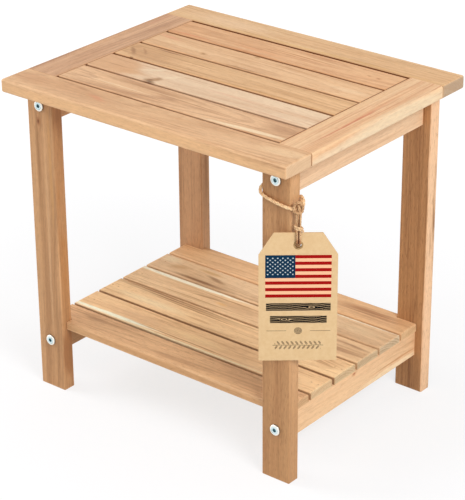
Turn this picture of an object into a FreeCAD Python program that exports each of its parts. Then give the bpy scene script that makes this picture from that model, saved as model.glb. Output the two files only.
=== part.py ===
import FreeCAD, Part
import math
import os

os.makedirs("parts", exist_ok=True)

# A two-tier slatted wooden side table, in millimetres.
# X runs along the long side, Y from front to back, Z up; the origin is on the floor under the middle.
table_length = 460.0
table_depth = 375.0
table_height = 450.0

# Top: two full-length rails, two end rails butted between them and slats inside the frame.
top_thickness = 18.0
long_rail_width = 50.0
end_rail_width = 49.0
top_slat_count = 5
top_slat_gap = 4.6
joint_hairline = 0.5
top_arris_radius = 3.0
slat_arris_radius = 1.6
joint_arris_radius = 0.4

# One cross batten under the middle of the top.
top_batten_width = 40.0
top_batten_thickness = 12.0
top_batten_setback = 34.0

# Legs: flat boards, the wide face to the front and the back.
leg_width = 43.0
leg_thickness = 19.0
leg_end_inset = 16.0
leg_front_inset = 30.0
leg_arris_radius = 1.8

# Side rails, on edge between the front and back legs.
side_rail_thickness = 17.0
upper_rail_height = 43.0
upper_bolt_height_share = 0.56
lower_rail_height = 38.0
lower_rail_bottom = 53.0
rail_arris_radius = 1.5

# Shelf: slats lying across the lower side rails, the outer two notched round the legs and set back from
# the legs' outer faces.
shelf_slat_count = 6
shelf_front_setback = 8.5
shelf_slat_thickness = 11.0
shelf_slat_gap = 4.0
shelf_slat_overhang = 2.0
shelf_arris_radius = 2.4
shelf_notch_clearance = 0.6

# Connector bolts through the legs into cross nuts in the rails, with two dowels beside each.
bolt_diameter = 6.0
bolt_length = 50.0
bolt_hole_clearance = 0.5
bolt_head_diameter = 15.0
bolt_head_thickness = 2.6
bolt_head_dome = 1.1
bolt_socket_across = 4.0
bolt_socket_depth = 2.0
cross_nut_diameter = 10.0
cross_nut_length = 13.0
cross_nut_clearance = 0.15
cross_nut_setback = 26.0
cross_nut_slot_width = 1.2
cross_nut_slot_depth = 1.0
bolt_thread_clearance = 0.12

# Wooden dowels, and the glue space round them.
leg_dowel_diameter = 6.0
leg_dowel_depth_in_leg = 12.0
leg_dowel_depth_in_rail = 18.0
leg_dowel_offset = 12.0
frame_dowel_diameter = 8.0
frame_dowel_depth = 20.0
frame_dowel_spread = 21.0
frame_dowel_shift = 3.0
slat_dowel_diameter = 6.0
slat_dowel_depth = 12.0
slat_dowel_spread = 24.0
dowel_clearance = 0.1
dowel_end_space = 0.8
dowel_chamfer = 0.8

# Countersunk wood screws, all driven from below.
screw_diameter = 4.0
screw_tip_length = 5.0
screw_head_diameter = 8.0
screw_head_height = 2.6
screw_recess = 2.2
screw_recess_depth = 1.2
screw_clearance = 0.15
pocket_diameter = 9.0
top_screw_count = 3
top_screw_length = 38.0
top_screw_bite = 14.0
batten_screw_length = 24.0

# Brads through the shelf slats into the lower side rails, one each side of the rail's middle line.
brad_diameter = 1.6
brad_length = 28.0
brad_head_diameter = 2.4
brad_head_thickness = 0.8
brad_clearance = 0.05
brad_offset = 5.3

# Hang tag on a loop of twine round the front right leg, turned to face out from the corner.
tag_turn = 39.0
tag_width = 95.0
tag_height = 172.0
tag_top_width = 58.5
tag_shoulder = 29.0
tag_thickness = 1.4
tag_corner_clearance = 0.9
tag_offset_along = 9.5
tag_top_height = 351.5
tag_corner_radius = 0.6
eyelet_drop = 16.0
eyelet_bore = 7.4
eyelet_wall = 0.7
eyelet_flange_width = 2.1
eyelet_flange_thickness = 0.8
eyelet_fit = 0.15
twine_diameter = 4.2
string_diameter = 3.2
string_spacing = 3.5
upper_knot_height = 381.0
upper_knot_radius = 5.4
middle_knot_height = 359.0
stopper_knot_radius = 4.7
twine_clearance = 0.4
string_clearance = 0.3
string_stand_off = 2.3
string_arc_limit = 90.0
loop_arc_limit = 6.0
loop_dip = 4.0
loop_bulge_along = 7.0
loop_bulge_back = 6.0
loop_bulge_left = 6.0

# Heights and faces that the pieces share.
top_bottom = table_height - top_thickness
half_length = table_length / 2
half_depth = table_depth / 2
leg_outer_x = half_length - leg_end_inset
leg_middle_x = leg_outer_x - leg_width / 2
leg_inner_x = leg_outer_x - leg_width
leg_outer_y = half_depth - leg_front_inset
leg_inner_y = leg_outer_y - leg_thickness
rail_outer_x = leg_middle_x + side_rail_thickness / 2
rail_inner_x = leg_middle_x - side_rail_thickness / 2
upper_rail_bottom = top_bottom - upper_rail_height
upper_bolt_z = upper_rail_bottom + upper_bolt_height_share * upper_rail_height
lower_bolt_z = lower_rail_bottom + lower_rail_height / 2
lower_rail_top = lower_rail_bottom + lower_rail_height
shelf_top = lower_rail_top + shelf_slat_thickness
frame_inner_y = half_depth - long_rail_width
frame_inner_x = half_length - end_rail_width
cut_overrun = 1.0


def vec(x, y, z):
    return FreeCAD.Vector(x, y, z)


def block(x0, x1, y0, y1, z0, z1):
    """A box between its low and high corners."""
    return Part.makeBox(x1 - x0, y1 - y0, z1 - z0, vec(x0, y0, z0))


def rounded(shape, radius, test):
    """Rounds the straight edges whose middle point and direction pass the test."""
    chosen = []
    for edge in shape.Edges:
        middle = edge.CenterOfMass
        span = edge.Vertexes[-1].Point - edge.Vertexes[0].Point
        along = max(range(3), key=lambda k: abs(span[k]))
        if test(middle, along):
            chosen.append(edge)
    return shape.makeFillet(radius, chosen)


def rod(diameter, start, end):
    """A round bar from one point to another."""
    axis = end - start
    return Part.makeCylinder(diameter / 2, axis.Length, start, axis)


def mirrored_x(shape):
    return shape.mirror(vec(0, 0, 0), vec(1, 0, 0))


def mirrored_y(shape):
    return shape.mirror(vec(0, 0, 0), vec(0, 1, 0))


def at_four_corners(shapes):
    """The shapes of the corner at +X +Y, repeated at the other three corners."""
    found = []
    for shape in shapes:
        found.append(shape)
        found.append(mirrored_x(shape))
        found.append(mirrored_y(shape))
        found.append(mirrored_x(mirrored_y(shape)))
    return found


def save(name, shape):
    shape.exportStep("parts/" + name + ".step")


# Fasteners and dowels at the corner at +X +Y come first, because the boards are bored for them.
def dowel(diameter, start, end):
    """A dowel with chamfered ends."""
    body = rod(diameter, start, end)
    rims = [edge for edge in body.Edges if edge.Closed]
    return body.makeChamfer(dowel_chamfer, rims)


def dowel_bore(diameter, start, end):
    """The hole for a dowel, a little wider and a little longer at both ends."""
    way = (end - start).normalize() * dowel_end_space
    return rod(diameter + 2 * dowel_clearance, start - way, end + way)


def leg_bolt(height):
    """A flat-headed connector bolt with a hexagon socket, pointing in along -Y."""
    face = vec(leg_middle_x, leg_outer_y, height)
    inward = vec(0, -1, 0)
    shank = rod(bolt_diameter, face, face + inward * bolt_length)
    head = Part.makeCylinder(bolt_head_diameter / 2, bolt_head_thickness, face, -inward)
    outer_rim = [e for e in head.Edges if e.Closed and e.CenterOfMass.y > leg_outer_y + bolt_head_dome]
    head = head.makeFillet(bolt_head_dome, outer_rim)
    corners = []
    for corner in range(7):
        turn = math.radians(60 * corner)
        reach = bolt_socket_across / 2 / math.cos(math.radians(30))
        corners.append(face + vec(reach * math.sin(turn), bolt_head_thickness, reach * math.cos(turn)))
    socket = Part.Face(Part.makePolygon(corners)).extrude(inward * bolt_socket_depth)
    return shank.fuse(head).removeSplitter().cut(socket)


def bolt_bore(height):
    face = vec(leg_middle_x, leg_outer_y + cut_overrun, height)
    return rod(bolt_diameter + 2 * bolt_hole_clearance, face, face - vec(0, bolt_length + 2 * cut_overrun, 0))


def cross_nut_line(height):
    """The two ends of a cross nut, whose open end lies flush with the rail's inner face."""
    y = leg_inner_y - cross_nut_setback
    return vec(rail_inner_x, y, height), vec(rail_inner_x + cross_nut_length, y, height)


def cross_nut(height):
    """A barrel nut with its cross bore and a screwdriver slot in its open end."""
    start, end = cross_nut_line(height)
    body = rod(cross_nut_diameter, start, end)
    threaded = bolt_diameter + 2 * bolt_thread_clearance
    middle = vec(leg_middle_x, start.y, height)
    reach = vec(0, cross_nut_diameter, 0)
    slot = block(start.x - cut_overrun, start.x + cross_nut_slot_depth,
                 start.y - cross_nut_slot_width / 2, start.y + cross_nut_slot_width / 2,
                 height - cross_nut_diameter, height + cross_nut_diameter)
    return body.cut(rod(threaded, middle - reach, middle + reach)).cut(slot)


def cross_nut_bore(height):
    start, end = cross_nut_line(height)
    wide = cross_nut_diameter + 2 * cross_nut_clearance
    return rod(wide, start - vec(cut_overrun, 0, 0), end + vec(cross_nut_clearance, 0, 0))


def leg_dowel_lines():
    """The ends of the dowels above and below each bolt."""
    lines = []
    for height in (upper_bolt_z, lower_bolt_z):
        for side in (-1, 1):
            z = height + side * leg_dowel_offset
            lines.append((vec(leg_middle_x, leg_inner_y + leg_dowel_depth_in_leg, z),
                          vec(leg_middle_x, leg_inner_y - leg_dowel_depth_in_rail, z)))
    return lines


def frame_dowel_lines():
    """Two dowels from each end rail into the long rail at the corner."""
    lines = []
    middle = half_length - end_rail_width / 2 + frame_dowel_shift
    for side in (-1, 1):
        x = middle + side * frame_dowel_spread / 2
        z = table_height - top_thickness / 2
        lines.append((vec(x, frame_inner_y - frame_dowel_depth, z),
                      vec(x, frame_inner_y + frame_dowel_depth, z)))
    return lines


top_slat_room = 2 * frame_inner_y - (top_slat_count + 1) * top_slat_gap
top_slat_width = top_slat_room / top_slat_count
top_slat_end_x = frame_inner_x - joint_hairline
shelf_half_depth = leg_outer_y - shelf_front_setback
shelf_slat_room = 2 * shelf_half_depth - (shelf_slat_count - 1) * shelf_slat_gap
shelf_slat_width = shelf_slat_room / shelf_slat_count


def top_slat_middle(index):
    """The Y of a top slat's middle line; slats are counted from the back."""
    step = top_slat_width + top_slat_gap
    return ((top_slat_count - 1) / 2 - index) * step


def shelf_slat_middle(index):
    """The Y of a shelf slat's middle line, counted from the back."""
    step = shelf_slat_width + shelf_slat_gap
    return ((shelf_slat_count - 1) / 2 - index) * step


def slat_dowel_lines(side):
    """Two dowels in the end of each top slat, at the end on this side of the table."""
    lines = []
    z = table_height - top_thickness / 2
    for index in range(top_slat_count):
        for across in (-1, 1):
            y = top_slat_middle(index) + across * slat_dowel_spread / 2
            lines.append((vec(side * (frame_inner_x - slat_dowel_depth), y, z),
                          vec(side * (frame_inner_x + slat_dowel_depth), y, z)))
    return lines


def screw(x, y, head_z, length):
    """A countersunk wood screw pointing up, its head's flat face at head_z."""
    shank_top = head_z + length - screw_tip_length
    shank = Part.makeCylinder(screw_diameter / 2, shank_top - head_z, vec(x, y, head_z))
    tip = Part.makeCone(screw_diameter / 2, 0, screw_tip_length, vec(x, y, shank_top))
    head = Part.makeCone(screw_head_diameter / 2, screw_diameter / 2, screw_head_height, vec(x, y, head_z))
    body = shank.fuse([tip, head]).removeSplitter()
    arm = screw_recess * 2
    for wide, deep in ((arm, screw_recess / 2), (screw_recess / 2, arm)):
        recess = block(x - wide / 2, x + wide / 2, y - deep / 2, y + deep / 2,
                       head_z - cut_overrun, head_z + screw_recess_depth)
        body = body.cut(recess)
    return body


def screw_bore(x, y, head_z, length):
    """The hole that a screw sits in, with its countersink."""
    wide = screw_clearance
    shank_top = head_z + length - screw_tip_length
    shank = Part.makeCylinder(screw_diameter / 2 + wide, shank_top - head_z, vec(x, y, head_z))
    tip = Part.makeCone(screw_diameter / 2 + wide, 0, screw_tip_length + 2 * wide, vec(x, y, shank_top))
    head = Part.makeCone(screw_head_diameter / 2 + wide, screw_diameter / 2 + wide,
                         screw_head_height, vec(x, y, head_z))
    return shank.fuse([tip, head])


def pocket(x, y, bottom, head_z):
    """The wide blind bore that lets a screw's head up into a rail from below."""
    return Part.makeCylinder(pocket_diameter / 2, head_z - bottom + cut_overrun, vec(x, y, bottom - cut_overrun))


def top_screw_places():
    """Where screws go up through the upper side rail into the end rail, clear of the slats' dowels."""
    reach = (top_slat_middle(0) + top_slat_middle(1)) / 2
    step = 2 * reach / (top_screw_count - 1)
    head_z = top_bottom + top_screw_bite - top_screw_length
    return [(leg_middle_x, -reach + step * index, head_z) for index in range(top_screw_count)]


def shelf_brad_places():
    """Where brads go down through each shelf slat into the lower side rail at +X."""
    places = []
    for index in range(shelf_slat_count):
        for side in (-1, 1):
            places.append((leg_middle_x + side * brad_offset, shelf_slat_middle(index)))
    return places


def brad(x, y, widening):
    """A brad with its flat head level with the slat's top; widened, it is the hole for one."""
    shank = Part.makeCylinder(brad_diameter / 2 + widening, brad_length, vec(x, y, shelf_top - brad_length))
    head = Part.makeCylinder(brad_head_diameter / 2 + widening, brad_head_thickness,
                             vec(x, y, shelf_top - brad_head_thickness))
    return shank.fuse(head).removeSplitter()


def batten_screw_places():
    """Where screws go up through the top's batten: one in each slat and one in each long rail."""
    head_z = top_bottom - top_batten_thickness
    rail_y = frame_inner_y + (half_depth - top_batten_setback - frame_inner_y) / 2
    rows = [top_slat_middle(index) for index in range(top_slat_count)] + [rail_y, -rail_y]
    return [(0, y, head_z) for y in rows]


# The wooden pieces.
def top_long_rail():
    """The back rail of the top; the front one is its mirror image."""
    board = block(-half_length, half_length, frame_inner_y, half_depth, top_bottom, table_height)
    ends = half_length - cut_overrun

    def outer(middle, along):
        return middle.y > half_depth - cut_overrun or abs(middle.x) > ends

    def inner(middle, along):
        return along == 0 and middle.y < frame_inner_y + cut_overrun and middle.z > table_height - cut_overrun

    board = rounded(board, joint_arris_radius, inner)
    board = rounded(board, top_arris_radius,
                    lambda m, a: outer(m, a) and not m.y < frame_inner_y + cut_overrun)
    bores = [dowel_bore(frame_dowel_diameter, a, b) for a, b in frame_dowel_lines()]
    bores += [mirrored_x(bore) for bore in bores]
    for x, y, z in batten_screw_places():
        if y > frame_inner_y:
            bores.append(screw_bore(x, y, z, batten_screw_length))
    return board.cut(bores)


def top_end_rail():
    """The right end rail of the top; the left one is its mirror image."""
    long_gap = joint_hairline / 2
    board = block(frame_inner_x, half_length, -frame_inner_y + long_gap, frame_inner_y - long_gap,
                  top_bottom, table_height)
    board = rounded(board, top_arris_radius, lambda m, a: a == 1 and m.x > half_length - cut_overrun)
    board = rounded(board, joint_arris_radius,
                    lambda m, a: a == 1 and m.x < frame_inner_x + cut_overrun and m.z > table_height - cut_overrun)
    bores = [dowel_bore(frame_dowel_diameter, a, b) for a, b in frame_dowel_lines()]
    bores += [mirrored_y(bore) for bore in bores]
    bores += [dowel_bore(slat_dowel_diameter, a, b) for a, b in slat_dowel_lines(1)]
    bores += [screw_bore(x, y, z, top_screw_length) for x, y, z in top_screw_places()]
    return board.cut(bores)


def top_slat(index):
    middle = top_slat_middle(index)
    board = block(-top_slat_end_x, top_slat_end_x, middle - top_slat_width / 2, middle + top_slat_width / 2,
                  top_bottom, table_height)
    board = rounded(board, slat_arris_radius, lambda m, a: a == 0)
    bores = []
    for side in (-1, 1):
        for start, end in slat_dowel_lines(side):
            if abs(start.y - middle) < top_slat_width / 2:
                bores.append(dowel_bore(slat_dowel_diameter, start, end))
    bores.append(screw_bore(0, middle, top_bottom - top_batten_thickness, batten_screw_length))
    return board.cut(bores)


def top_batten():
    reach = half_depth - top_batten_setback
    board = block(-top_batten_width / 2, top_batten_width / 2, -reach, reach,
                  top_bottom - top_batten_thickness, top_bottom)
    board = rounded(board, rail_arris_radius, lambda m, a: m.z < top_bottom - top_batten_thickness / 2)
    return board.cut([screw_bore(x, y, z, batten_screw_length) for x, y, z in batten_screw_places()])


def leg():
    """The leg at +X +Y, bored for its two bolts and four dowels."""
    board = block(leg_inner_x, leg_outer_x, leg_inner_y, leg_outer_y, 0, top_bottom)
    board = rounded(board, leg_arris_radius, lambda m, a: a == 2)
    board = rounded(board, rail_arris_radius / 2, lambda m, a: m.z < cut_overrun)
    bores = [bolt_bore(height) for height in (upper_bolt_z, lower_bolt_z)]
    bores += [dowel_bore(leg_dowel_diameter, a, b) for a, b in leg_dowel_lines()]
    return board.cut(bores)


def side_rail(bottom, height, bolt_z, fasteners):
    """A rail at +X between two legs, bored at both ends and for the given fasteners' holes."""
    top = bottom + height
    board = block(rail_inner_x, rail_outer_x, -leg_inner_y, leg_inner_y, bottom, top)
    board = rounded(board, rail_arris_radius, lambda m, a: a == 1)
    bores = [bolt_bore(bolt_z), cross_nut_bore(bolt_z)]
    bores += [dowel_bore(leg_dowel_diameter, a, b) for a, b in leg_dowel_lines()]
    bores += [mirrored_y(bore) for bore in bores]
    return board.cut(bores + fasteners)


def shelf_slat(index):
    """A shelf slat with eased edges; the outer two are notched round the legs."""
    middle = shelf_slat_middle(index)
    reach = rail_outer_x + shelf_slat_overhang
    board = block(-reach, reach, middle - shelf_slat_width / 2, middle + shelf_slat_width / 2,
                  lower_rail_top, shelf_top)
    board = rounded(board, shelf_arris_radius, lambda m, a: m.z > shelf_top - cut_overrun)
    board = rounded(board, rail_arris_radius / 2,
                    lambda m, a: a == 0 and m.z < lower_rail_top + cut_overrun)
    inside_y = leg_inner_y - shelf_notch_clearance
    if abs(middle) + shelf_slat_width / 2 > inside_y:
        notch = block(leg_inner_x - shelf_notch_clearance, reach + cut_overrun, inside_y,
                      half_depth, lower_rail_top - cut_overrun, shelf_top + cut_overrun)
        board = board.cut(at_four_corners([notch]))
    bores = []
    for x, y in shelf_brad_places():
        if abs(y - middle) < shelf_slat_width / 2:
            bore = brad(x, y, brad_clearance)
            bores += [bore, mirrored_x(bore)]
    return board.cut(bores)


# The hang tag and its twine, in a frame of its own: along the card, out from the leg's corner, up.
turn = math.radians(tag_turn)
tag_along = vec(math.cos(turn), math.sin(turn), 0)
tag_out = vec(math.sin(turn), -math.cos(turn), 0)
leg_corner = vec(leg_outer_x, -leg_outer_y, 0)
card_back = tag_corner_clearance
card_front = card_back + tag_thickness
card_middle = (card_back + card_front) / 2
string_front = card_front + eyelet_flange_thickness + string_stand_off
eyelet_height = tag_top_height - eyelet_drop


def on_tag(along, out, height):
    """A point from its place along the card from the leg's corner, out from it and above the floor."""
    return leg_corner + tag_along * along + tag_out * out + vec(0, 0, height)


def tag_card():
    """A card with two cut corners and a hole for the eyelet."""
    low = tag_top_height - tag_height
    shoulder = tag_top_height - tag_shoulder
    outline = [(-tag_width / 2, low), (tag_width / 2, low), (tag_width / 2, shoulder),
               (tag_top_width / 2, tag_top_height), (-tag_top_width / 2, tag_top_height),
               (-tag_width / 2, shoulder), (-tag_width / 2, low)]
    corners = [on_tag(tag_offset_along + along, card_back, height) for along, height in outline]
    card = Part.Face(Part.makePolygon(corners)).extrude(tag_out * tag_thickness)
    upright = [e for e in card.Edges if abs(e.Length - tag_thickness) < tag_thickness / 100]
    card = card.makeFillet(tag_corner_radius, upright)
    hole_radius = eyelet_bore / 2 + eyelet_wall + eyelet_fit
    start = on_tag(tag_offset_along, card_back - cut_overrun, eyelet_height)
    return card.cut(Part.makeCylinder(hole_radius, tag_thickness + 2 * cut_overrun, start, tag_out))


def tag_eyelet():
    """A pressed metal eyelet: a tube through the card with a rounded flange on each face."""
    inner = eyelet_bore / 2
    start = on_tag(tag_offset_along, card_back - eyelet_flange_thickness, eyelet_height)
    length = tag_thickness + 2 * eyelet_flange_thickness
    body = Part.makeCylinder(inner + eyelet_wall, length, start, tag_out)
    for base in (card_back - eyelet_flange_thickness, card_front):
        flange = Part.makeCylinder(inner + eyelet_flange_width, eyelet_flange_thickness,
                                   on_tag(tag_offset_along, base, eyelet_height), tag_out)
        body = body.fuse(flange)
    body = body.removeSplitter()
    wide = [e for e in body.Edges if e.Closed and abs(e.Curve.Radius - inner - eyelet_flange_width) < eyelet_fit]
    body = body.makeFillet(eyelet_flange_thickness / 3, wide)
    return body.cut(Part.makeCylinder(inner, length + 2 * cut_overrun, start - tag_out * cut_overrun, tag_out))


def rounded_route(points, radii):
    """Straight runs through the points, joined by tangent arcs of the radii given for the inner ones."""
    edges = []
    here = points[0]
    for index in range(1, len(points) - 1):
        corner = points[index]
        back = (points[index - 1] - corner).normalize()
        onward = (points[index + 1] - corner).normalize()
        half_turn = (math.pi - back.getAngle(onward)) / 2
        cut_back = radii[index - 1] * math.tan(half_turn)
        inward = (back + onward).normalize()
        centre = corner + inward * (radii[index - 1] / math.cos(half_turn))
        arc_start = corner + back * cut_back
        arc_end = corner + onward * cut_back
        edges.append(Part.LineSegment(here, arc_start).toShape())
        edges.append(Part.Arc(arc_start, centre - inward * radii[index - 1], arc_end).toShape())
        here = arc_end
    edges.append(Part.LineSegment(here, points[-1]).toShape())
    return Part.Wire(edges)


def route_radii(points, greatest):
    """Each inner point's arc: 0.45 of its shorter run over the tangent of half the turn, up to a limit."""
    run_share = 0.45
    radii = []
    for index in range(1, len(points) - 1):
        back = points[index - 1] - points[index]
        onward = points[index + 1] - points[index]
        half_turn = (math.pi - back.getAngle(onward)) / 2
        radii.append(min(greatest, run_share * min(back.Length, onward.Length) / math.tan(half_turn)))
    return radii


def tube(name, points, diameter, greatest):
    """A round tube along a route; its volume is printed beside its section times its length."""
    radii = route_radii(points, greatest)
    spine = rounded_route(points, radii)
    ring = Part.Wire(Part.Circle(points[0], points[1] - points[0], diameter / 2).toShape())
    body = spine.makePipeShell([ring], True, False)
    section = math.pi * diameter * diameter / 4
    print(name, "length", round(spine.Length, 1), "radii", [round(r, 1) for r in radii],
          "volume share", round(body.Volume / (section * spine.Length), 4), "valid", body.isValid())
    return body


def upper_knot_centre():
    return on_tag(tag_offset_along, card_middle, upper_knot_height)


def twine_loop():
    """The loop round the front right leg, just under the upper side rail, and both its ends in the knot."""
    knot = upper_knot_centre()
    stand_off = twine_diameter / 2 + twine_clearance
    front = -leg_outer_y - stand_off
    behind = -leg_inner_y + stand_off
    inside = leg_inner_x - stand_off
    outside = leg_outer_x + stand_off
    under_rail = upper_rail_bottom - stand_off
    bulge = on_tag(tag_offset_along + loop_bulge_along, card_middle - loop_bulge_back,
                   upper_knot_height + twine_clearance)
    points = [
        knot,
        vec(outside, front - twine_clearance, upper_knot_height + twine_clearance),
        vec(leg_middle_x, front, under_rail - loop_dip),
        vec(inside, front, under_rail - twine_clearance),
        vec(inside - loop_bulge_left, -leg_outer_y + leg_thickness / 4, under_rail + twine_diameter),
        vec(inside - loop_bulge_left / 3, behind, under_rail + twine_diameter / 2),
        vec(rail_inner_x - twine_diameter, behind, under_rail),
        vec(rail_outer_x, behind, under_rail),
        vec(outside, behind, under_rail + twine_clearance),
        bulge,
        knot,
    ]
    points[0] = knot + (points[1] - knot).normalize() * (upper_knot_radius / 2)
    points[-1] = knot + (points[-2] - knot).normalize() * (upper_knot_radius / 2)
    body = tube("twine_loop", points, twine_diameter, loop_arc_limit)
    return body.cut(Part.makeSphere(upper_knot_radius, knot))


def twine_knot():
    return Part.makeSphere(upper_knot_radius, upper_knot_centre())


def stopper_centre():
    sink = math.sqrt(stopper_knot_radius ** 2 - (eyelet_bore / 2) ** 2)
    out = card_back - eyelet_flange_thickness - string_clearance - sink
    return on_tag(tag_offset_along, out, eyelet_height)


def tag_string(side):
    """One of the two hanging strands: down in front of the card and through the eyelet."""
    along = tag_offset_along + side * string_spacing / 2
    points = [
        on_tag(along, card_middle, upper_knot_height),
        on_tag(along, (card_middle + string_front) / 2, middle_knot_height),
        on_tag(along, string_front, eyelet_height + eyelet_bore),
        on_tag(along, string_front, eyelet_height),
        stopper_centre() + tag_along * (side * string_spacing / 2),
    ]
    body = tube("tag_string", points, string_diameter, string_arc_limit)
    clear = Part.makeSphere(upper_knot_radius + string_clearance, upper_knot_centre())
    return body.cut(clear).cut(Part.makeSphere(stopper_knot_radius, stopper_centre()))


def tag_middle_knot():
    """The ring of twine tied round both strands."""
    half_pair = string_spacing / 2 + string_diameter / 2
    major = half_pair + string_clearance + string_diameter / 2
    out = (card_middle + string_front) / 2
    return Part.makeTorus(major, string_diameter / 2, on_tag(tag_offset_along, out, middle_knot_height))


def tag_stopper_knot():
    return Part.makeSphere(stopper_knot_radius, stopper_centre())


# The top.
back_rail = top_long_rail()
save("top_back_rail", back_rail)
save("top_front_rail", mirrored_y(back_rail))
right_rail = top_end_rail()
save("top_right_end_rail", right_rail)
save("top_left_end_rail", mirrored_x(right_rail))
for number in range(top_slat_count):
    save("top_slat_" + str(number + 1), top_slat(number))
save("top_batten", top_batten())

# The legs and the side rails.
corner_leg = leg()
save("leg_back_right", corner_leg)
save("leg_back_left", mirrored_x(corner_leg))
save("leg_front_right", mirrored_y(corner_leg))
save("leg_front_left", mirrored_x(mirrored_y(corner_leg)))
top_screw_holes = [screw_bore(x, y, z, top_screw_length) for x, y, z in top_screw_places()]
top_screw_holes += [pocket(x, y, upper_rail_bottom, z) for x, y, z in top_screw_places()]
upper_rail = side_rail(upper_rail_bottom, upper_rail_height, upper_bolt_z, top_screw_holes)
save("upper_side_rail_right", upper_rail)
save("upper_side_rail_left", mirrored_x(upper_rail))
brad_holes = [brad(x, y, brad_clearance) for x, y in shelf_brad_places()]
lower_rail = side_rail(lower_rail_bottom, lower_rail_height, lower_bolt_z, brad_holes)
save("lower_side_rail_right", lower_rail)
save("lower_side_rail_left", mirrored_x(lower_rail))

# The shelf.
for number in range(shelf_slat_count):
    save("shelf_slat_" + str(number + 1), shelf_slat(number))

# Fasteners and dowels, one node for each kind.
bolt_heights = (upper_bolt_z, lower_bolt_z)
save("leg_bolts", Part.Compound(at_four_corners([leg_bolt(z) for z in bolt_heights])))
save("cross_nuts", Part.Compound(at_four_corners([cross_nut(z) for z in bolt_heights])))
leg_dowels = [dowel(leg_dowel_diameter, a, b) for a, b in leg_dowel_lines()]
save("leg_dowels", Part.Compound(at_four_corners(leg_dowels)))
frame_dowels = [dowel(frame_dowel_diameter, a, b) for a, b in frame_dowel_lines()]
save("frame_dowels", Part.Compound(at_four_corners(frame_dowels)))
slat_dowels = [dowel(slat_dowel_diameter, a, b) for side in (-1, 1) for a, b in slat_dowel_lines(side)]
save("slat_dowels", Part.Compound(slat_dowels))
top_screws = [screw(x, y, z, top_screw_length) for x, y, z in top_screw_places()]
save("top_screws", Part.Compound(top_screws + [mirrored_x(s) for s in top_screws]))
shelf_brads = [brad(x, y, 0) for x, y in shelf_brad_places()]
save("shelf_brads", Part.Compound(shelf_brads + [mirrored_x(s) for s in shelf_brads]))
batten_screws = [screw(x, y, z, batten_screw_length) for x, y, z in batten_screw_places()]
save("batten_screws", Part.Compound(batten_screws))

# The hang tag.
save("tag_card", tag_card())
save("tag_eyelet", tag_eyelet())
save("tag_string_left", tag_string(-1))
save("tag_string_right", tag_string(1))
save("tag_middle_knot", tag_middle_knot())
save("tag_stopper_knot", tag_stopper_knot())
save("twine_loop", twine_loop())
save("twine_knot", twine_knot())
print("knot centre", upper_knot_centre(), "shelf top", shelf_top)
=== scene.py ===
import bpy
import bmesh
import math
from mathutils import Matrix, Vector


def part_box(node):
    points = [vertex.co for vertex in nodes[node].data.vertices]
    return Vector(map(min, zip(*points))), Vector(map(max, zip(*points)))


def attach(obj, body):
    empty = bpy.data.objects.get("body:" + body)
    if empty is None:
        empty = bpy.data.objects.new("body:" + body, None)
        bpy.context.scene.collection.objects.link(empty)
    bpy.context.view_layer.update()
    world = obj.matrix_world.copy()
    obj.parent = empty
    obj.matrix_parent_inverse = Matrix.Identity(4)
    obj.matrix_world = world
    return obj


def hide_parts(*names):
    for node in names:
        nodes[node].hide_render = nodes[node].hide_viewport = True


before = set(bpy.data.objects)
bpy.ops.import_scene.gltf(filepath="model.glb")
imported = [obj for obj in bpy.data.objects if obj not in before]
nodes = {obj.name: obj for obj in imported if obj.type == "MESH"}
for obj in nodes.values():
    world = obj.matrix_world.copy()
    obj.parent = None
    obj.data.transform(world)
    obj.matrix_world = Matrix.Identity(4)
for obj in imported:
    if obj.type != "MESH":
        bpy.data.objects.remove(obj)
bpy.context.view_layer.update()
millimetre = 0.001
print("frame loaded:", len(nodes), "nodes")


def addObject(name, data):
    holder = bpy.data.objects.new(name, data)
    bpy.context.scene.collection.objects.link(holder)
    return holder


# Camera, light and floor.
cameraValues = {
    "place": (1.5092, -1.8644, 1.3599),
    "azimuth": 39.03,      # degrees round the table from straight in front
    "elevation": 25.72,
    "roll": -0.42,
    "lens": 144.0,
    "sensor": 36.0,
}


def makeCamera(values):
    camera = bpy.data.cameras.new("photoCamera")
    camera.sensor_fit = "AUTO"
    camera.sensor_width = values["sensor"]
    camera.lens = values["lens"]
    azimuth, elevation, roll = (math.radians(values[key]) for key in ("azimuth", "elevation", "roll"))
    ahead = Vector((-math.sin(azimuth) * math.cos(elevation), math.cos(azimuth) * math.cos(elevation),
                    -math.sin(elevation)))
    level = Vector((math.cos(azimuth), math.sin(azimuth), 0.0))
    upward = level.cross(ahead)
    right = level * math.cos(roll) + upward * math.sin(roll)
    top = upward * math.cos(roll) - level * math.sin(roll)
    holder = addObject("photoCamera", camera)
    turned = Matrix((right, top, -ahead)).transposed().to_4x4()
    holder.matrix_world = Matrix.Translation(Vector(values["place"])) @ turned
    bpy.context.scene.camera = holder


makeCamera(cameraValues)


def paint(red, green, blue):  # 0 to 255 as seen on a screen, to the linear colour a shader wants
    def linear(level):
        share = level / 255
        return share / 12.92 if share <= 0.04045 else ((share + 0.055) / 1.055) ** 2.4
    return (linear(red), linear(green), linear(blue), 1.0)


def grey(level):
    return (level, level, level, 1.0)


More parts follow.
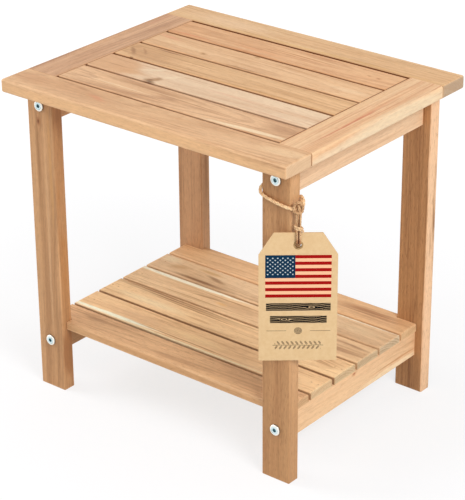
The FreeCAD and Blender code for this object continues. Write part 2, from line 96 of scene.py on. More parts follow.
class Signal:  # a shader socket that can be added, multiplied and compared like a number
    def __init__(self, tree, socket=None):
        self.tree = tree
        self.socket = socket

    def node(self, kind, settings, values, output=0):
        made = self.tree.nodes.new(kind)
        for key, setting in settings.items():
            setattr(made, key, setting)
        for key, value in values.items():
            if isinstance(value, Signal):
                self.tree.links.new(value.socket, made.inputs[key])
            else:
                made.inputs[key].default_value = value
        return Signal(self.tree, made.outputs[output] if len(made.outputs) else None)

    def maths(self, operation, *values):
        return self.node("ShaderNodeMath", {"operation": operation}, dict(enumerate(values)))

    def __add__(self, other):
        return self.maths("ADD", self, other)

    def __radd__(self, other):
        return self.maths("ADD", other, self)

    def __sub__(self, other):
        return self.maths("SUBTRACT", self, other)

    def __rsub__(self, other):
        return self.maths("SUBTRACT", other, self)

    def __mul__(self, other):
        return self.maths("MULTIPLY", self, other)

    def __truediv__(self, other):
        return self.maths("DIVIDE", self, other)

    def size(self):
        return self.maths("ABSOLUTE", self)

    def part(self):  # its place within a repeat, from 0 to 1
        return self.maths("FRACT", self)

    def least(self, other):
        return self.maths("MINIMUM", self, other)

    def rise(self, low, high):  # 0 below low, 1 above high, smooth between them
        ends = {"Value": self, "From Min": low, "From Max": high, "To Min": 0.0, "To Max": 1.0}
        return self.node("ShaderNodeMapRange", {"interpolation_type": "SMOOTHSTEP"}, ends)

    def inside(self, low, high, soft=0.12):  # 1 from low to high
        return self.rise(low - soft, low + soft) * self.rise(high + soft, high - soft)

    def texture(self, output="Object"):
        return self.node("ShaderNodeTexCoord", {}, {}, output)

    def attribute(self, name):
        return self.node("ShaderNodeAttribute", {"attribute_name": name}, {}, "Fac")

    def spot(self, x, y, z):
        return self.node("ShaderNodeCombineXYZ", {}, {0: x, 1: y, 2: z})

    def vector(self, operation, other):
        return self.node("ShaderNodeVectorMath", {"operation": operation}, {0: self, 1: other})

    def scaled(self, *scales):
        return self.vector("MULTIPLY", scales)

    def along(self, way):
        return self.node("ShaderNodeVectorMath", {"operation": "DOT_PRODUCT"}, {0: self, 1: way}, "Value")

    def length(self):
        return self.node("ShaderNodeVectorMath", {"operation": "LENGTH"}, {0: self}, "Value")

    def axes(self):
        return [self.node("ShaderNodeSeparateXYZ", {}, {0: self}, axis) for axis in "XYZ"]

    def noise(self, detail, rough, output="Fac"):
        return self.node("ShaderNodeTexNoise", {}, {"Vector": self, "Scale": 1.0, "Detail": detail,
                                                    "Roughness": rough}, output)

    def between(self, one, other):  # one colour where this is 0, the other where it is 1
        return self.node("ShaderNodeMix", {"data_type": "RGBA"}, {0: self, 6: one, 7: other}, 2)

    def over(self, mask, colour, mode="MIX"):  # this colour, covered by another where the mask is 1
        return self.node("ShaderNodeMix", {"data_type": "RGBA", "blend_type": mode},
                         {0: mask, 6: self, 7: colour}, 2)


def newFinish(name):
    material = bpy.data.materials.new(name)
    material.use_nodes = True
    tree = material.node_tree
    tree.nodes.clear()
    return material, Signal(tree)


def closeFinish(start, colour, roughness, height, depth, steady):
    bump = start.node("ShaderNodeBump", {}, {"Height": height, "Distance": depth, "Strength": 1.0}, "Normal")
    values = {"Base Color": colour, "Roughness": roughness, "Normal": bump, **steady}
    shader = start.node("ShaderNodeBsdfPrincipled", {}, values)
    start.node("ShaderNodeOutputMaterial", {}, {"Surface": shader})


lightValues = {
    "ambient": 0.46,
    "white": grey(1.0),
    "key": {"place": (2.0, -0.85, 1.8), "size": 1.2, "power": 42.0},
    "left": {"place": (-2.2, -0.8, 1.3), "size": 1.5, "power": 36.0},
    "aim": (0.0, 0.0, 0.25),
    "floorGlow": (0.745, 0.83),    # under the table and well away from it
    "floorFade": (0.24, 0.9),      # metres from the table's middle where the one becomes the other
    "floorEnd": (0.9, 2.4),        # metres over which the floor becomes white
    "floorShade": paint(136, 136, 138),
    "floorBounce": paint(230, 229, 227),
    "floorReach": 9.0,
}


def seenDirectly(start):  # 1 for what the camera sees, also in a reflection or through glass
    rays = [start.node("ShaderNodeLightPath", {}, {}, ray)
            for ray in ("Is Camera Ray", "Is Glossy Ray", "Is Transmission Ray")]
    return (rays[0] + rays[1] + rays[2]).least(1.0)


def makeWorld(values):
    world = bpy.data.worlds.new("paleStudio")
    world.use_nodes = True
    world.node_tree.nodes.clear()
    start = Signal(world.node_tree)
    sky = seenDirectly(start).between(grey(values["ambient"]), values["white"])
    shine = start.node("ShaderNodeBackground", {}, {"Color": sky, "Strength": 1.0})
    start.node("ShaderNodeOutputWorld", {}, {"Surface": shine})
    bpy.context.scene.world = world


def makeLamp(name, values, aim):
    lamp = bpy.data.lights.new(name, "AREA")
    lamp.shape = "DISK"
    lamp.size = values["size"]
    lamp.energy = values["power"]
    holder = addObject(name, lamp)
    place = Vector(values["place"])
    holder.location = place
    holder.rotation_euler = (Vector(aim) - place).to_track_quat("-Z", "Y").to_euler()


def makeFloor(values):
    reach = values["floorReach"]
    mesh = bpy.data.meshes.new("paleFloor")
    mesh.from_pydata([(-reach, -reach, 0), (reach, -reach, 0), (reach, reach, 0), (-reach, reach, 0)],
                     [], [(0, 1, 2, 3)])
    material, start = newFinish("paleFloorFinish")
    near, far = values["floorGlow"]
    away = start.texture().length()
    level = away.rise(*values["floorFade"]).between(grey(near), grey(far))
    level = level.over(away.rise(*values["floorEnd"]), values["white"])
    glow = start.node("ShaderNodeEmission", {}, {"Color": level, "Strength": 1.0})
    shade = start.node("ShaderNodeBsdfDiffuse", {}, {"Color": values["floorShade"]})
    shown = start.node("ShaderNodeAddShader", {}, {0: shade, 1: glow})
    bounce = start.node("ShaderNodeBsdfDiffuse", {}, {"Color": values["floorBounce"]})
    both = start.node("ShaderNodeMixShader", {}, {0: seenDirectly(start), 1: bounce, 2: shown})
    start.node("ShaderNodeOutputMaterial", {}, {"Surface": both})
    mesh.materials.append(material)
    addObject("paleFloor", mesh)


makeWorld(lightValues)
makeLamp("keyLamp", lightValues["key"], lightValues["aim"])
makeLamp("leftLamp", lightValues["left"], lightValues["aim"])
makeFloor(lightValues)
bpy.context.scene.view_settings.view_transform = "Standard"
print("camera, light and floor made")


# Wood: growth rings, pores and marks, worked out in the board's own place.
woodDefaults = {
    "pith": (0, -70),        # the log's middle line from the board's middle, across the two short ways, mm
    "tilt": 0.02,            # how much the growth rings lean along the board
    "ring": 3.4,             # mm from one growth ring to the next
    "bend": 5.0,             # mm that the figure wanders to the side
    "figure": 0.8,           # strength of the broad bands that follow the rings
    "lines": 0.38,           # strength of the thin ring lines
    "streaks": 0.66,         # strength of the long fine streaks
    "pores": 0.30,
    "endLines": 1.0,         # strength of the ring lines on the cut ends
    "gapShadeAndJoints": [],              # sides that face a narrow gap, which gets painted shade, and the slat ends' joints, which get a dark line, as (axis, -1 or 1, how dark it is inside)
    "marks": [],
    "knots": [],
}
grainScales = {              # how often each pattern changes in a metre, along and across the grain
    "wander": (3.1, 15.0),
    "ragged": (26.0, 240.0),
    "fibre": (17.0, 780.0),
    "streak": (5.0, 330.0),
    "dash": (95.0, 1500.0),
    "cloud": (9.0, 22.0),
    "speckle": (90.0, 330.0),
}
# painted shade: a warm tone at a gap's edge and a dark one deep inside it
gapShadeAndJointTones = {"halo": paint(196, 132, 62), "inside": paint(120, 56, 6)}


def everyWay(way, along, across):  # three numbers, one for the grain's way and the same for the others
    return tuple(along if axis == way else across for axis in range(3))


def woodFinish(name, board):
    board = {**woodDefaults, **board}
    way = "XYZ".index(board["grain"])
    sides = [axis for axis in range(3) if axis != way]
    low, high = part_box(board["of"])
    middle = (low + high) / 2
    half = (high - low) / 2
    material, start = newFinish(name)
    place = start.texture()
    seed = board["seed"]
    shifted = place.vector("ADD", (seed * 0.83, seed * 1.31, seed * 0.57))

    def grainNoise(source, scale, detail, rough, output="Fac"):
        return source.scaled(*everyWay(way, *grainScales[scale])).noise(detail, rough, output)

    # the grain wanders slowly, and its edges are a little ragged
    wander = grainNoise(shifted, "wander", 1.0, 0.5, "Color").vector("SUBTRACT", (0.5, 0.5, 0.5))
    bent = place.vector("ADD", wander.scaled(*everyWay(way, 0.0, board["bend"] * 2 * millimetre)))
    ragged = grainNoise(shifted, "ragged", 2.0, 0.6, "Color").vector("SUBTRACT", (0.5, 0.5, 0.5))
    torn = bent.vector("ADD", ragged.scaled(*everyWay(way, 0.012, 0.0030)))

    # growth rings round a log whose middle line lies outside the board
    pith = list(middle)
    for axis, offset in zip(sides, board["pith"]):
        pith[axis] = middle[axis] + offset * millimetre
    radius = bent.vector("SUBTRACT", tuple(pith)).scaled(*everyWay(way, 0.0, 1.0)).length()
    alongBoard = bent.axes()[way]
    reach = radius + alongBoard * board["tilt"]
    for knot in board["knots"]:
        near = markShape(place, knot["at"], [size * 2.6 for size in knot["size"]], knot["turn"], way)
        reach = reach + near.rise(1.0, 0.0) * (knot["swirl"] * millimetre)
    phase = reach / (board["ring"] * millimetre)

    def ringNoise(along, through, shift, detail):
        return start.spot(alongBoard * along, phase * through, seed + shift).noise(detail, 0.55)

    broad = ringNoise(2.2, 0.34, 0.0, 2.0).rise(0.36, 0.66)
    narrow = ringNoise(5.0, 1.5, 4.0, 3.0).rise(0.42, 0.72)
    saw = phase.part()
    late = saw.rise(0.35, 0.92) * saw.rise(1.0, 0.93) * ringNoise(3.0, 0.8, 9.0, 1.0).rise(0.35, 0.62)
    fibre = grainNoise(shifted, "fibre", 3.0, 0.6)
    streak = grainNoise(torn.vector("ADD", (seed * 0.37, seed * 0.71, seed * 0.93)), "streak", 3.0, 0.62)
    dash = grainNoise(shifted, "dash", 1.0, 0.5).rise(0.60, 0.70)
    cloud = grainNoise(shifted, "cloud", 2.0, 0.5)
    speckle = grainNoise(torn, "speckle", 2.0, 0.65)

    pale, body, deep = (paint(*board[tone]) for tone in ("pale", "body", "deep"))
    colour = (broad * board["figure"]).between(pale, body)
    colour = colour.over(narrow * broad * (0.62 * board["figure"]), deep)
    colour = colour.over(late * board["lines"], deep)
    colour = colour.over(streak.rise(0.53, 0.72) * board["streaks"], deep)
    colour = colour.over(streak.rise(0.47, 0.30) * (0.7 * board["streaks"]), pale)
    for mark in board["marks"]:
        shape = markShape(torn, mark["at"], mark["size"], mark["turn"], way)
        mask = shape.rise(1.0, mark["core"]) * mark["strength"]
        if mark["streaky"]:
            mask = mask * ringNoise(6.0, 2.4, 13.0, 2.0).rise(0.30, 0.58)
        colour = colour.over(mask, paint(*mark["colour"]))
    for knot in board["knots"]:
        shape = markShape(torn, knot["at"], knot["size"], knot["turn"], way)
        colour = colour.over(shape.rise(1.25, 0.3) * 0.75, paint(*knot["halo"]))
        colour = colour.over(shape.rise(0.55, 0.1), paint(*knot["heart"]))

    # light and dark along the fibres, short dark pores, and the cut ends
    lightness = 0.99 + (fibre - 0.5) * 0.20 + (speckle - 0.5) * 0.26 + (cloud - 0.5) * 0.14
    tint = start.node("ShaderNodeCombineColor", {}, {0: lightness, 1: lightness, 2: lightness})
    colour = colour.over(1.0, tint, "MULTIPLY")
    colour = colour.over(dash * board["pores"], deep)
    cut = start.texture("Normal").axes()[way].size().rise(0.55, 0.9)
    endTone = board.get("end", tuple(round(level * 0.9) for level in board["body"]))
    endLines = board["endLines"]
    ends = colour.over(1 - 0.45 * endLines, paint(*endTone))
    ends = ends.over(late * (0.4 * endLines) + narrow * (0.25 * endLines), deep)
    colour = colour.over(cut, ends)

    # the arrises get a painted highlight, so they are a little paler
    inset = [half[axis] - (level - middle[axis]).size() for axis, level in enumerate(place.axes())]
    innerSide = inset[sides[0]].maths("MAXIMUM", inset[sides[0]], inset[sides[1]])
    nearEnd = inset[way].maths("MAXIMUM", inset[way], inset[sides[0]].least(inset[sides[1]]))
    arrisHighlight = innerSide.least(nearEnd).rise(0.0032, 0.0004) * (0.10 + cloud * 0.22)
    colour = colour.over(arrisHighlight, paint(*[min(255, level + 14) for level in board["pale"]]))

    # painted shade darkens the narrow gaps between the boards, and a dark line marks the slat ends' joints
    if board["gapShadeAndJoints"]:
        levels = place.axes()
        fromTop = high[2] - levels[2]
        for axis, side, strength in board["gapShadeAndJoints"]:
            fromFace = (half[axis] + middle[axis] * side) - levels[axis] * side
            colour = colour.over(fromFace.rise(0.0042, 0.0008) * (0.25 * strength), gapShadeAndJointTones["halo"])
            # dark: painted shade in a gap, and the dark line of a joint, on the board's face beside it
            if axis == way:
                dark = fromFace.rise(0.0014, 0.0003)
            else:
                dark = fromFace.rise(0.0015, 0.0002) * fromTop.rise(0.0003, 0.0016)
            colour = colour.over(dark * strength, gapShadeAndJointTones["inside"])

    roughness = 0.50 + fibre * 0.12 - late * 0.05 + dash * 0.12 + cut * 0.15
    height = fibre * 0.55 + late * 0.25 - dash * 0.8 + cloud * 0.2
    closeFinish(start, colour, roughness, height, 0.00016, {"Specular IOR Level": 0.32})
    return material


def markShape(place, at, size, turn, way):  # distance from a mark's middle, 1 at its rim; all in mm
    spin = [0.0, 0.0, 0.0]
    spin[2 if way != 2 else 1] = math.radians(turn)
    moved = place.node("ShaderNodeMapping", {"vector_type": "TEXTURE"},
                       {"Vector": place, "Location": tuple(level * millimetre for level in at),
                        "Rotation": tuple(spin), "Scale": tuple(level * millimetre for level in size)})
    return moved.length()


# Marks on a board: their middle, half their size and the rings' push are in mm, turn is in degrees.
def patch(at, size, colour, strength, turn=0, core=0.15):
    return {"at": at, "size": size, "colour": colour, "strength": strength, "turn": turn, "core": core,
            "streaky": False}


def streak(*values, **further):  # a patch that follows the growth rings
    return {**patch(*values, **further), "streaky": True}


def knotMark(at, size, halo, heart, swirl, turn=0):  # swirl: how far the rings are pushed aside in its middle
    return {"at": at, "size": size, "halo": halo, "heart": heart, "swirl": swirl, "turn": turn}


boards = {
    # the top
    "top_back_rail": {
        "grain": "X", "seed": 1.7, "pale": (238, 197, 149), "body": (227, 180, 132), "deep": (194, 142, 93),
        "pith": (-40, -75), "lines": 0.3, "streaks": 0.9, "end": (170, 150, 130), "endLines": 0.6,
        "marks": [
            patch((40, 142, 450), (300, 4, 30), (238, 189, 122), 0.5),
            streak((120, 168, 450), (120, 9, 30), (204, 153, 101), 0.5),
            streak((-60, 151, 450), (110, 3, 30), (208, 158, 108), 0.45, turn=1),
            patch((-130, 160, 450), (110, 20, 30), (245, 207, 166), 0.65),
        ],
    },
    "top_front_rail": {
        "grain": "X", "seed": 2.9, "pale": (233, 189, 144), "body": (220, 172, 127), "deep": (189, 137, 95),
        "pith": (18, -62), "tilt": 0.05, "figure": 0.7, "lines": 0.3, "end": (219, 185, 148),
        "endLines": 0.35,
        "marks": [
            patch((-88, -163, 450), (26, 7, 9), (227, 144, 106), 0.6, turn=-15),
            streak((-128, -149, 450), (44, 4, 12), (185, 133, 93), 0.6, turn=-8),
            patch((-200, -160, 450), (44, 24, 12), (203, 150, 110), 0.5),
            patch((-120, -164, 450), (120, 32, 12), (197, 145, 104), 0.45),
            patch((150, -166, 450), (110, 20, 12), (239, 195, 150), 0.5),
            patch((205, -157, 450), (48, 12, 12), (241, 201, 156), 0.8, turn=6, core=0.5),
            patch((0, -187.5, 438), (330, 5, 13), (241, 193, 142), 0.72, core=0.6),
            patch((178, -143.5, 450), (50, 2.4, 14), (185, 135, 95), 0.65, turn=4),
            streak((20, -176, 450), (120, 5, 30), (205, 152, 108), 0.5),
            streak((60, -152, 450), (90, 4, 30), (203, 150, 106), 0.5, turn=2),
        ],
    },
    "top_left_end_rail": {
        "grain": "Y", "seed": 4.3, "pale": (221, 175, 136), "body": (208, 159, 121), "deep": (161, 114, 84),
        "pith": (55, -30), "tilt": 0.03, "figure": 0.7, "lines": 0.25, "streaks": 0.5,
        "marks": [
            streak((-192, 90, 450), (7, 60, 30), (184, 133, 96), 0.5, turn=3),
            patch((-199, -35, 450), (2.2, 88, 30), (170, 117, 80), 0.5, turn=-2),
            streak((-192, -66, 450), (6, 70, 30), (178, 127, 90), 0.5),
            streak((-211, -40, 450), (3, 66, 30), (188, 133, 96), 0.5),
            patch((-221, 0, 450), (7, 110, 30), (225, 175, 130), 0.6),
            patch((-218, 110, 450), (2, 44, 20), (206, 129, 98), 0.6),
        ],
    },
    "top_right_end_rail": {
        "grain": "Y", "seed": 5.2, "pale": (240, 199, 154), "body": (229, 179, 133), "deep": (207, 139, 98),
        "pith": (-90, 30), "tilt": 0.015, "lines": 0.3, "streaks": 0.8,
        "marks": [
            # the next two: a pale sapwood strip with a painted highlight, along the outer end face and its
            # lower arris
            patch((228, 40, 440), (9, 150, 14), (238, 215, 179), 0.8, core=0.5),
            patch((228, -70, 436), (5, 140, 9), (238, 213, 178), 0.8, core=0.4),
            patch((210, -36, 450), (1.7, 100, 40), (203, 101, 67), 0.85, turn=0.5),
            patch((207, 20, 450), (3.5, 110, 40), (222, 152, 109), 0.45, turn=1),
            patch((190, 0, 450), (5, 160, 40), (238, 194, 146), 0.5),
            patch((218, 30, 450), (1.2, 80, 40), (211, 125, 86), 0.55, turn=-1),
            patch((198, -50, 450), (2.0, 120, 40), (209, 153, 109), 0.6, turn=0.6),
            patch((203, 60, 450), (2.0, 100, 40), (248, 209, 161), 0.6),
        ],
    },
    "top_slat_1": {
        "grain": "X", "seed": 6.1, "pale": (238, 189, 141), "body": (225, 170, 123), "deep": (197, 134, 88),
        "pith": (8, -46), "figure": 0.95, "lines": 0.36, "streaks": 0.95,
        "marks": [
            streak((-138, 112, 450), (62, 10, 40), (182, 130, 86), 0.65),
            streak((70, 122, 450), (110, 6, 40), (186, 130, 86), 0.5, turn=-2),
            patch((60, 116, 450), (90, 3, 40), (245, 201, 150), 0.5, turn=-2),
            streak((-28, 96, 450), (62, 7, 40), (223, 149, 101), 0.5),
            streak((44, 104, 450), (46, 4, 40), (205, 147, 101), 0.5),
            patch((-142, 86.5, 450), (50, 2.2, 20), (223, 130, 88), 0.75),
            patch((-40, 85, 450), (60, 1.8, 20), (221, 141, 97), 0.6),
            patch((-126, 98, 450), (60, 4, 40), (242, 194, 145), 0.6, turn=-3),
        ],
        "knots": [
            knotMark((151, 110, 450), (4, 2.2, 9), (203, 141, 96), (175, 115, 72), 1.6),
            knotMark((138, 111, 450), (3.4, 1.8, 9), (207, 147, 101), (184, 124, 81), 1.2),
        ],
    },
    "top_slat_2": {
        "grain": "X", "seed": 7.4, "pale": (243, 199, 153), "body": (231, 183, 136), "deep": (192, 139, 93),
        "pith": (-20, -66), "tilt": 0.03, "figure": 0.7, "lines": 0.25,
        "marks": [
            patch((-160, 66, 450), (28, 8, 30), (235, 169, 130), 0.65, turn=-8),
            patch((-128, 50, 450), (60, 5, 30), (245, 205, 159), 0.6, turn=-2),
            patch((-19, 74, 450), (8, 3.2, 8), (173, 132, 84), 0.7),
            streak((55, 66, 450), (62, 6, 30), (195, 141, 94), 0.65, turn=-4),
            patch((40, 57, 450), (90, 1.5, 30), (206, 151, 103), 0.6, turn=-3),
            streak((-20, 42, 450), (74, 6, 30), (198, 145, 97), 0.6, turn=-1),
            patch((150, 50, 450), (44, 10, 30), (245, 209, 167), 0.55),
            patch((-138, 31, 450), (54, 2.4, 20), (245, 189, 136), 0.7),
            patch((-10, 30.4, 450), (48, 2.2, 20), (141, 92, 55), 0.75),
        ],
        "knots": [
            knotMark((-85, 44, 450), (8, 4.4, 14), (208, 157, 109), (177, 126, 80), 3.0),
        ],
    },
    "top_slat_3": {
        "grain": "X", "seed": 8.8, "pale": (238, 192, 143), "body": (223, 177, 127), "deep": (178, 127, 80),
        "pith": (-34, -70), "tilt": 0.012, "figure": 0.7, "lines": 0.32,
        "marks": [
            patch((-140, -2, 450), (80, 34, 30), (191, 142, 99), 0.6),
            patch((-166, -4, 450), (26, 5, 30), (153, 104, 65), 0.65, turn=-46),
            patch((-151, 4, 450), (20, 3, 30), (172, 121, 79), 0.55, turn=-44),
            patch((-172, 12, 450), (12, 8, 30), (189, 138, 94), 0.5),
            patch((-120, 20.5, 450), (36, 3.2, 20), (154, 103, 63), 0.8),
            patch((-65, 7.5, 450), (56, 1.3, 30), (174, 121, 77), 0.7, turn=-1),
            patch((-58, 1.5, 450), (50, 1.1, 30), (180, 127, 82), 0.6),
            patch((-95, -9, 450), (62, 1.4, 30), (178, 125, 80), 0.6, turn=1),
            patch((-20, -14, 450), (90, 2.0, 30), (189, 137, 90), 0.5),
            streak((90, -6, 450), (90, 8, 30), (197, 147, 96), 0.55),
            patch((60, -23.2, 450), (150, 2.4, 20), (207, 149, 84), 0.65),
            patch((-151, -25.4, 450), (3.6, 1.7, 4), (80, 48, 26), 0.9, core=0.5),
        ],
    },
    "top_slat_4": {
        "grain": "X", "seed": 9.6, "pale": (238, 207, 172), "body": (230, 193, 157), "deep": (204, 154, 113),
        "pith": (20, -80), "figure": 0.6, "lines": 0.14, "end": (210, 172, 134),
        "marks": [
            patch((-160, -56, 450), (64, 42, 40), (218, 168, 123), 0.9, turn=-12, core=0.6),
            patch((-118, -66, 450), (40, 12, 40), (216, 166, 121), 0.7),
            patch((-146, -59, 450), (36, 2.2, 30), (186, 135, 94), 0.65),
            patch((-150, -40, 450), (30, 2.0, 30), (196, 145, 104), 0.5, turn=-4),
            patch((-95, -43, 450), (26, 5, 30), (245, 222, 188), 0.6, turn=32),
            patch((-58, -50, 450), (24, 4.5, 30), (245, 220, 184), 0.6, turn=52),
            patch((120, -74, 450), (72, 4, 40), (221, 170, 134), 0.55),
            streak((40, -55, 450), (84, 5, 40), (231, 183, 147), 0.5),
            patch((-70, -66, 450), (9, 8, 20), (172, 125, 83), 0.8, turn=55),
        ],
        "knots": [
            knotMark((-76, -74, 450), (12, 7, 20), (178, 133, 91), (137, 94, 57), 5.0, turn=14),
            knotMark((-75, -79.6, 449), (11, 3.6, 9), (114, 73, 43), (37, 21, 12), 1.0),
        ],
    },
    "top_slat_5": {
        "grain": "X", "seed": 10.9, "pale": (235, 190, 146), "body": (216, 168, 125), "deep": (176, 127, 91),
        "pith": (4, -40), "tilt": 0.055, "figure": 0.9, "lines": 0.42,
        "marks": [
            streak((-60, -95, 450), (120, 9, 30), (182, 132, 91), 0.65),
            patch((30, -104, 450), (110, 1.6, 30), (183, 133, 93), 0.7, turn=-2.5),
            patch((60, -110.5, 450), (96, 1.3, 30), (186, 136, 96), 0.65, turn=2),
            patch((-20, -100, 450), (120, 1.4, 30), (242, 202, 156), 0.6, turn=-1),
            patch((-95, -112.5, 450), (84, 2.6, 30), (247, 210, 167), 0.85),
            streak((-80, -125, 450), (110, 6, 30), (188, 138, 98), 0.6),
            patch((158, -103, 450), (48, 13, 30), (178, 130, 93), 0.55, turn=-4, core=0.1),
            patch((96, -118.6, 450), (84, 1.5, 30), (178, 129, 93), 0.7, turn=4.5),
            patch((122, -127, 450), (88, 5.2, 40), (250, 221, 181), 0.9, turn=4, core=0.4),
            patch((-66, -97, 450), (2, 1, 5), (122, 82, 53), 0.8),
        ],
    },
    "top_batten": {
        "grain": "Y", "seed": 12.2, "pale": (224, 180, 136), "body": (206, 158, 114), "deep": (170, 122, 82),
        "pith": (20, 50), "tilt": 0.03,
    },
    # the legs
    "leg_front_left": {
        "grain": "Z", "seed": 13.5, "pale": (210, 160, 113), "body": (192, 143, 98), "deep": (147, 102, 64),
        "pith": (30, -46), "lines": 0.22, "streaks": 0.42,
        "marks": [
            patch((-208, -157, 230), (7, 9, 300), (210, 163, 118), 0.6),
            patch((-199.5, -157, 330), (3.4, 9, 150), (155, 109, 69), 0.6),
            patch((-195, -157, 170), (6, 9, 190), (180, 133, 91), 0.6),
            patch((-188, -157, 210), (3.2, 9, 240), (220, 174, 130), 0.6, core=0.3),
            patch((-180, -157, 330), (4.5, 9, 130), (210, 156, 97), 0.6),
            streak((-180, -157, 110), (4.5, 9, 150), (157, 114, 75), 0.55),
            # the next three: painted shade on the side face under the table top
            patch((-170.5, -147, 260), (3.4, 18, 160), (194, 134, 77), 0.75, core=0.5),
            patch((-170.5, -147, 56), (3.4, 18, 46), (161, 107, 64), 0.75, core=0.5),
            patch((-170.5, -144, 400), (3.4, 18, 50), (173, 119, 79), 0.6, core=0.4),
            # a painted highlight along the front face's right arris
            patch((-171.5, -157, 200), (2.2, 2.2, 150), (228, 180, 132), 0.6, core=0.3),
        ],
        "knots": [
            knotMark((-196, -157, 392), (4, 8, 7), (166, 106, 65), (119, 70, 39), 3.0),
        ],
    },
    "leg_front_right": {
        "grain": "Z", "seed": 14.8, "pale": (198, 149, 102), "body": (183, 134, 89), "deep": (149, 101, 63),
        "pith": (-60, 20), "tilt": 0.01, "figure": 0.7, "lines": 0.12, "streaks": 0.3, "pores": 0.55,
        "marks": [
            patch((173, -157, 250), (4, 9, 260), (165, 117, 76), 0.5),
            patch((192, -157, 90), (12, 9, 110), (191, 138, 92), 0.5),
            patch((190, -157, 392), (24, 9, 44), (170, 122, 81), 0.3),
            patch((178, -157, 40), (10, 9, 40), (171, 119, 76), 0.5),
            # the next two: painted light, the right side face paler and a painted highlight on its front
            # arris
            patch((215, -148, 300), (3.4, 24, 260), (219, 170, 122), 0.7, core=0.5),
            patch((212.6, -156.4, 230), (1.8, 1.8, 260), (224, 176, 128), 0.55, core=0.3),
            patch((207, -157, 340), (3, 6, 80), (164, 109, 65), 0.5),
        ],
    },
    "leg_back_left": {
        "grain": "Z", "seed": 15.3, "pale": (206, 159, 117), "body": (184, 137, 97), "deep": (138, 93, 59),
        "pith": (40, 30), "tilt": 0.015, "lines": 0.2, "streaks": 0.5, "pores": 0.4,
        "marks": [
            patch((-171, 148, 300), (5, 3.4, 200), (161, 112, 66), 0.8),
            patch((-171, 155, 300), (5, 3.4, 200), (216, 173, 121), 0.7),
            patch((-171, 141, 300), (5, 2.4, 200), (215, 171, 123), 0.6),
        ],
        "knots": [
            knotMark((-183, 138.5, 282), (3, 8, 4), (144, 93, 57), (81, 45, 24), 2.0),
        ],
    },
    "leg_back_right": {
        "grain": "Z", "seed": 16.6, "pale": (191, 142, 96), "body": (171, 122, 79), "deep": (129, 84, 51),
        "pith": (-50, 44), "tilt": 0.012, "lines": 0.35, "pores": 0.5,
        "marks": [
            # painted light: the right side face, which faces the light, painted much paler
            patch((215, 148, 220), (4, 60, 900), (245, 200, 158), 1.0, core=0.62),
            streak((214, 152, 300), (3, 2, 150), (205, 155, 107), 0.5),
            # painted light: paler towards the right edge of the front face, against the shade there
            patch((206, 138, 240), (7, 5, 260), (197, 146, 98), 0.6),
            streak((180, 138, 240), (8, 5, 260), (161, 114, 74), 0.45),
        ],
    },
    # the side rails
    "upper_side_rail_right": {
        "grain": "Y", "seed": 17.1, "pale": (237, 201, 163), "body": (225, 186, 148), "deep": (188, 142, 104),
        "pith": (50, 24), "figure": 0.5, "lines": 0.12, "streaks": 0.4,
        "marks": [streak((201, 20, 398), (9, 120, 5), (204, 156, 116), 0.5)],
    },
    "upper_side_rail_left": {
        "grain": "Y", "seed": 18.7, "pale": (226, 182, 138), "body": (210, 164, 120), "deep": (174, 128, 88),
        "pith": (-50, 24), "lines": 0.25,
    },
    "lower_side_rail_right": {
        "grain": "Y", "seed": 19.4, "pale": (244, 202, 156), "body": (234, 187, 143), "deep": (198, 145, 99),
        "pith": (60, -18), "figure": 0.5, "lines": 0.10, "streaks": 0.32,
        "marks": [
            patch((201, 90, 58), (9, 95, 5), (254, 222, 180), 0.9, core=0.5),
            patch((201, 96, 66), (9, 80, 2.2), (200, 137, 87), 0.8),
            streak((201, -60, 74), (9, 70, 3), (218, 167, 119), 0.5),
        ],
        "knots": [
            knotMark((201, -2, 86), (10, 5, 3.4), (204, 141, 95), (170, 93, 61), 2.5),
        ],
    },
    "lower_side_rail_left": {
        "grain": "Y", "seed": 20.9, "pale": (222, 178, 134), "body": (205, 160, 116), "deep": (170, 124, 84),
        "pith": (-60, -18), "lines": 0.25,
    },
    # the shelf
    "shelf_slat_1": {
        "grain": "X", "seed": 22.3, "pale": (236, 192, 144), "body": (225, 179, 130), "deep": (188, 136, 90),
        "pith": (30, -70), "figure": 0.6, "lines": 0.2, "end": (221, 184, 138),
        "marks": [
            streak((-110, 112, 102), (60, 8, 20), (186, 136, 90), 0.3),
            streak((136, 124, 102), (84, 20, 20), (170, 121, 80), 0.95),
            streak((-60, 118, 102), (120, 3, 20), (204, 152, 100), 0.55, turn=-1),
        ],
    },
    "shelf_slat_2": {
        "grain": "X", "seed": 23.6, "pale": (237, 201, 158), "body": (226, 188, 144), "deep": (158, 116, 76),
        "pith": (-14, -50), "figure": 0.7, "lines": 0.18, "streaks": 0.42, "end": (198, 180, 151),
        "marks": [
            patch((-184, 88, 102), (26, 12, 20), (241, 217, 177), 0.8),
            patch((-160, 76, 102), (24, 9, 20), (191, 147, 95), 0.55, turn=20),
            patch((-110, 88, 102), (30, 6, 20), (203, 156, 95), 0.65),
            patch((-92, 75, 102), (32, 5, 20), (146, 103, 64), 0.75, turn=-12),
            streak((-108, 59, 102), (64, 5, 20), (134, 94, 58), 0.9, turn=-1),
            patch((-96, 56, 102), (50, 1.8, 20), (144, 102, 64), 0.7, turn=-1),
            patch((150, 76, 102), (60, 14, 20), (227, 197, 155), 0.6),
            patch((140, 96, 102), (84, 3.2, 20), (243, 229, 198), 0.95, core=0.5),
        ],
    },
    "shelf_slat_3": {
        "grain": "X", "seed": 24.2, "pale": (249, 212, 165), "body": (233, 193, 146), "deep": (173, 130, 86),
        "pith": (10, -44), "figure": 0.7, "lines": 0.22, "streaks": 0.5, "end": (176, 159, 131),
        "marks": [
            patch((-4, 25, 102), (56, 19, 20), (201, 160, 117), 0.6),
            patch((-120, 26, 102), (50, 15, 20), (250, 212, 164), 0.35),
            patch((-120, 45.6, 102), (140, 5.2, 20), (255, 248, 220), 1.0, turn=0.5, core=0.5),
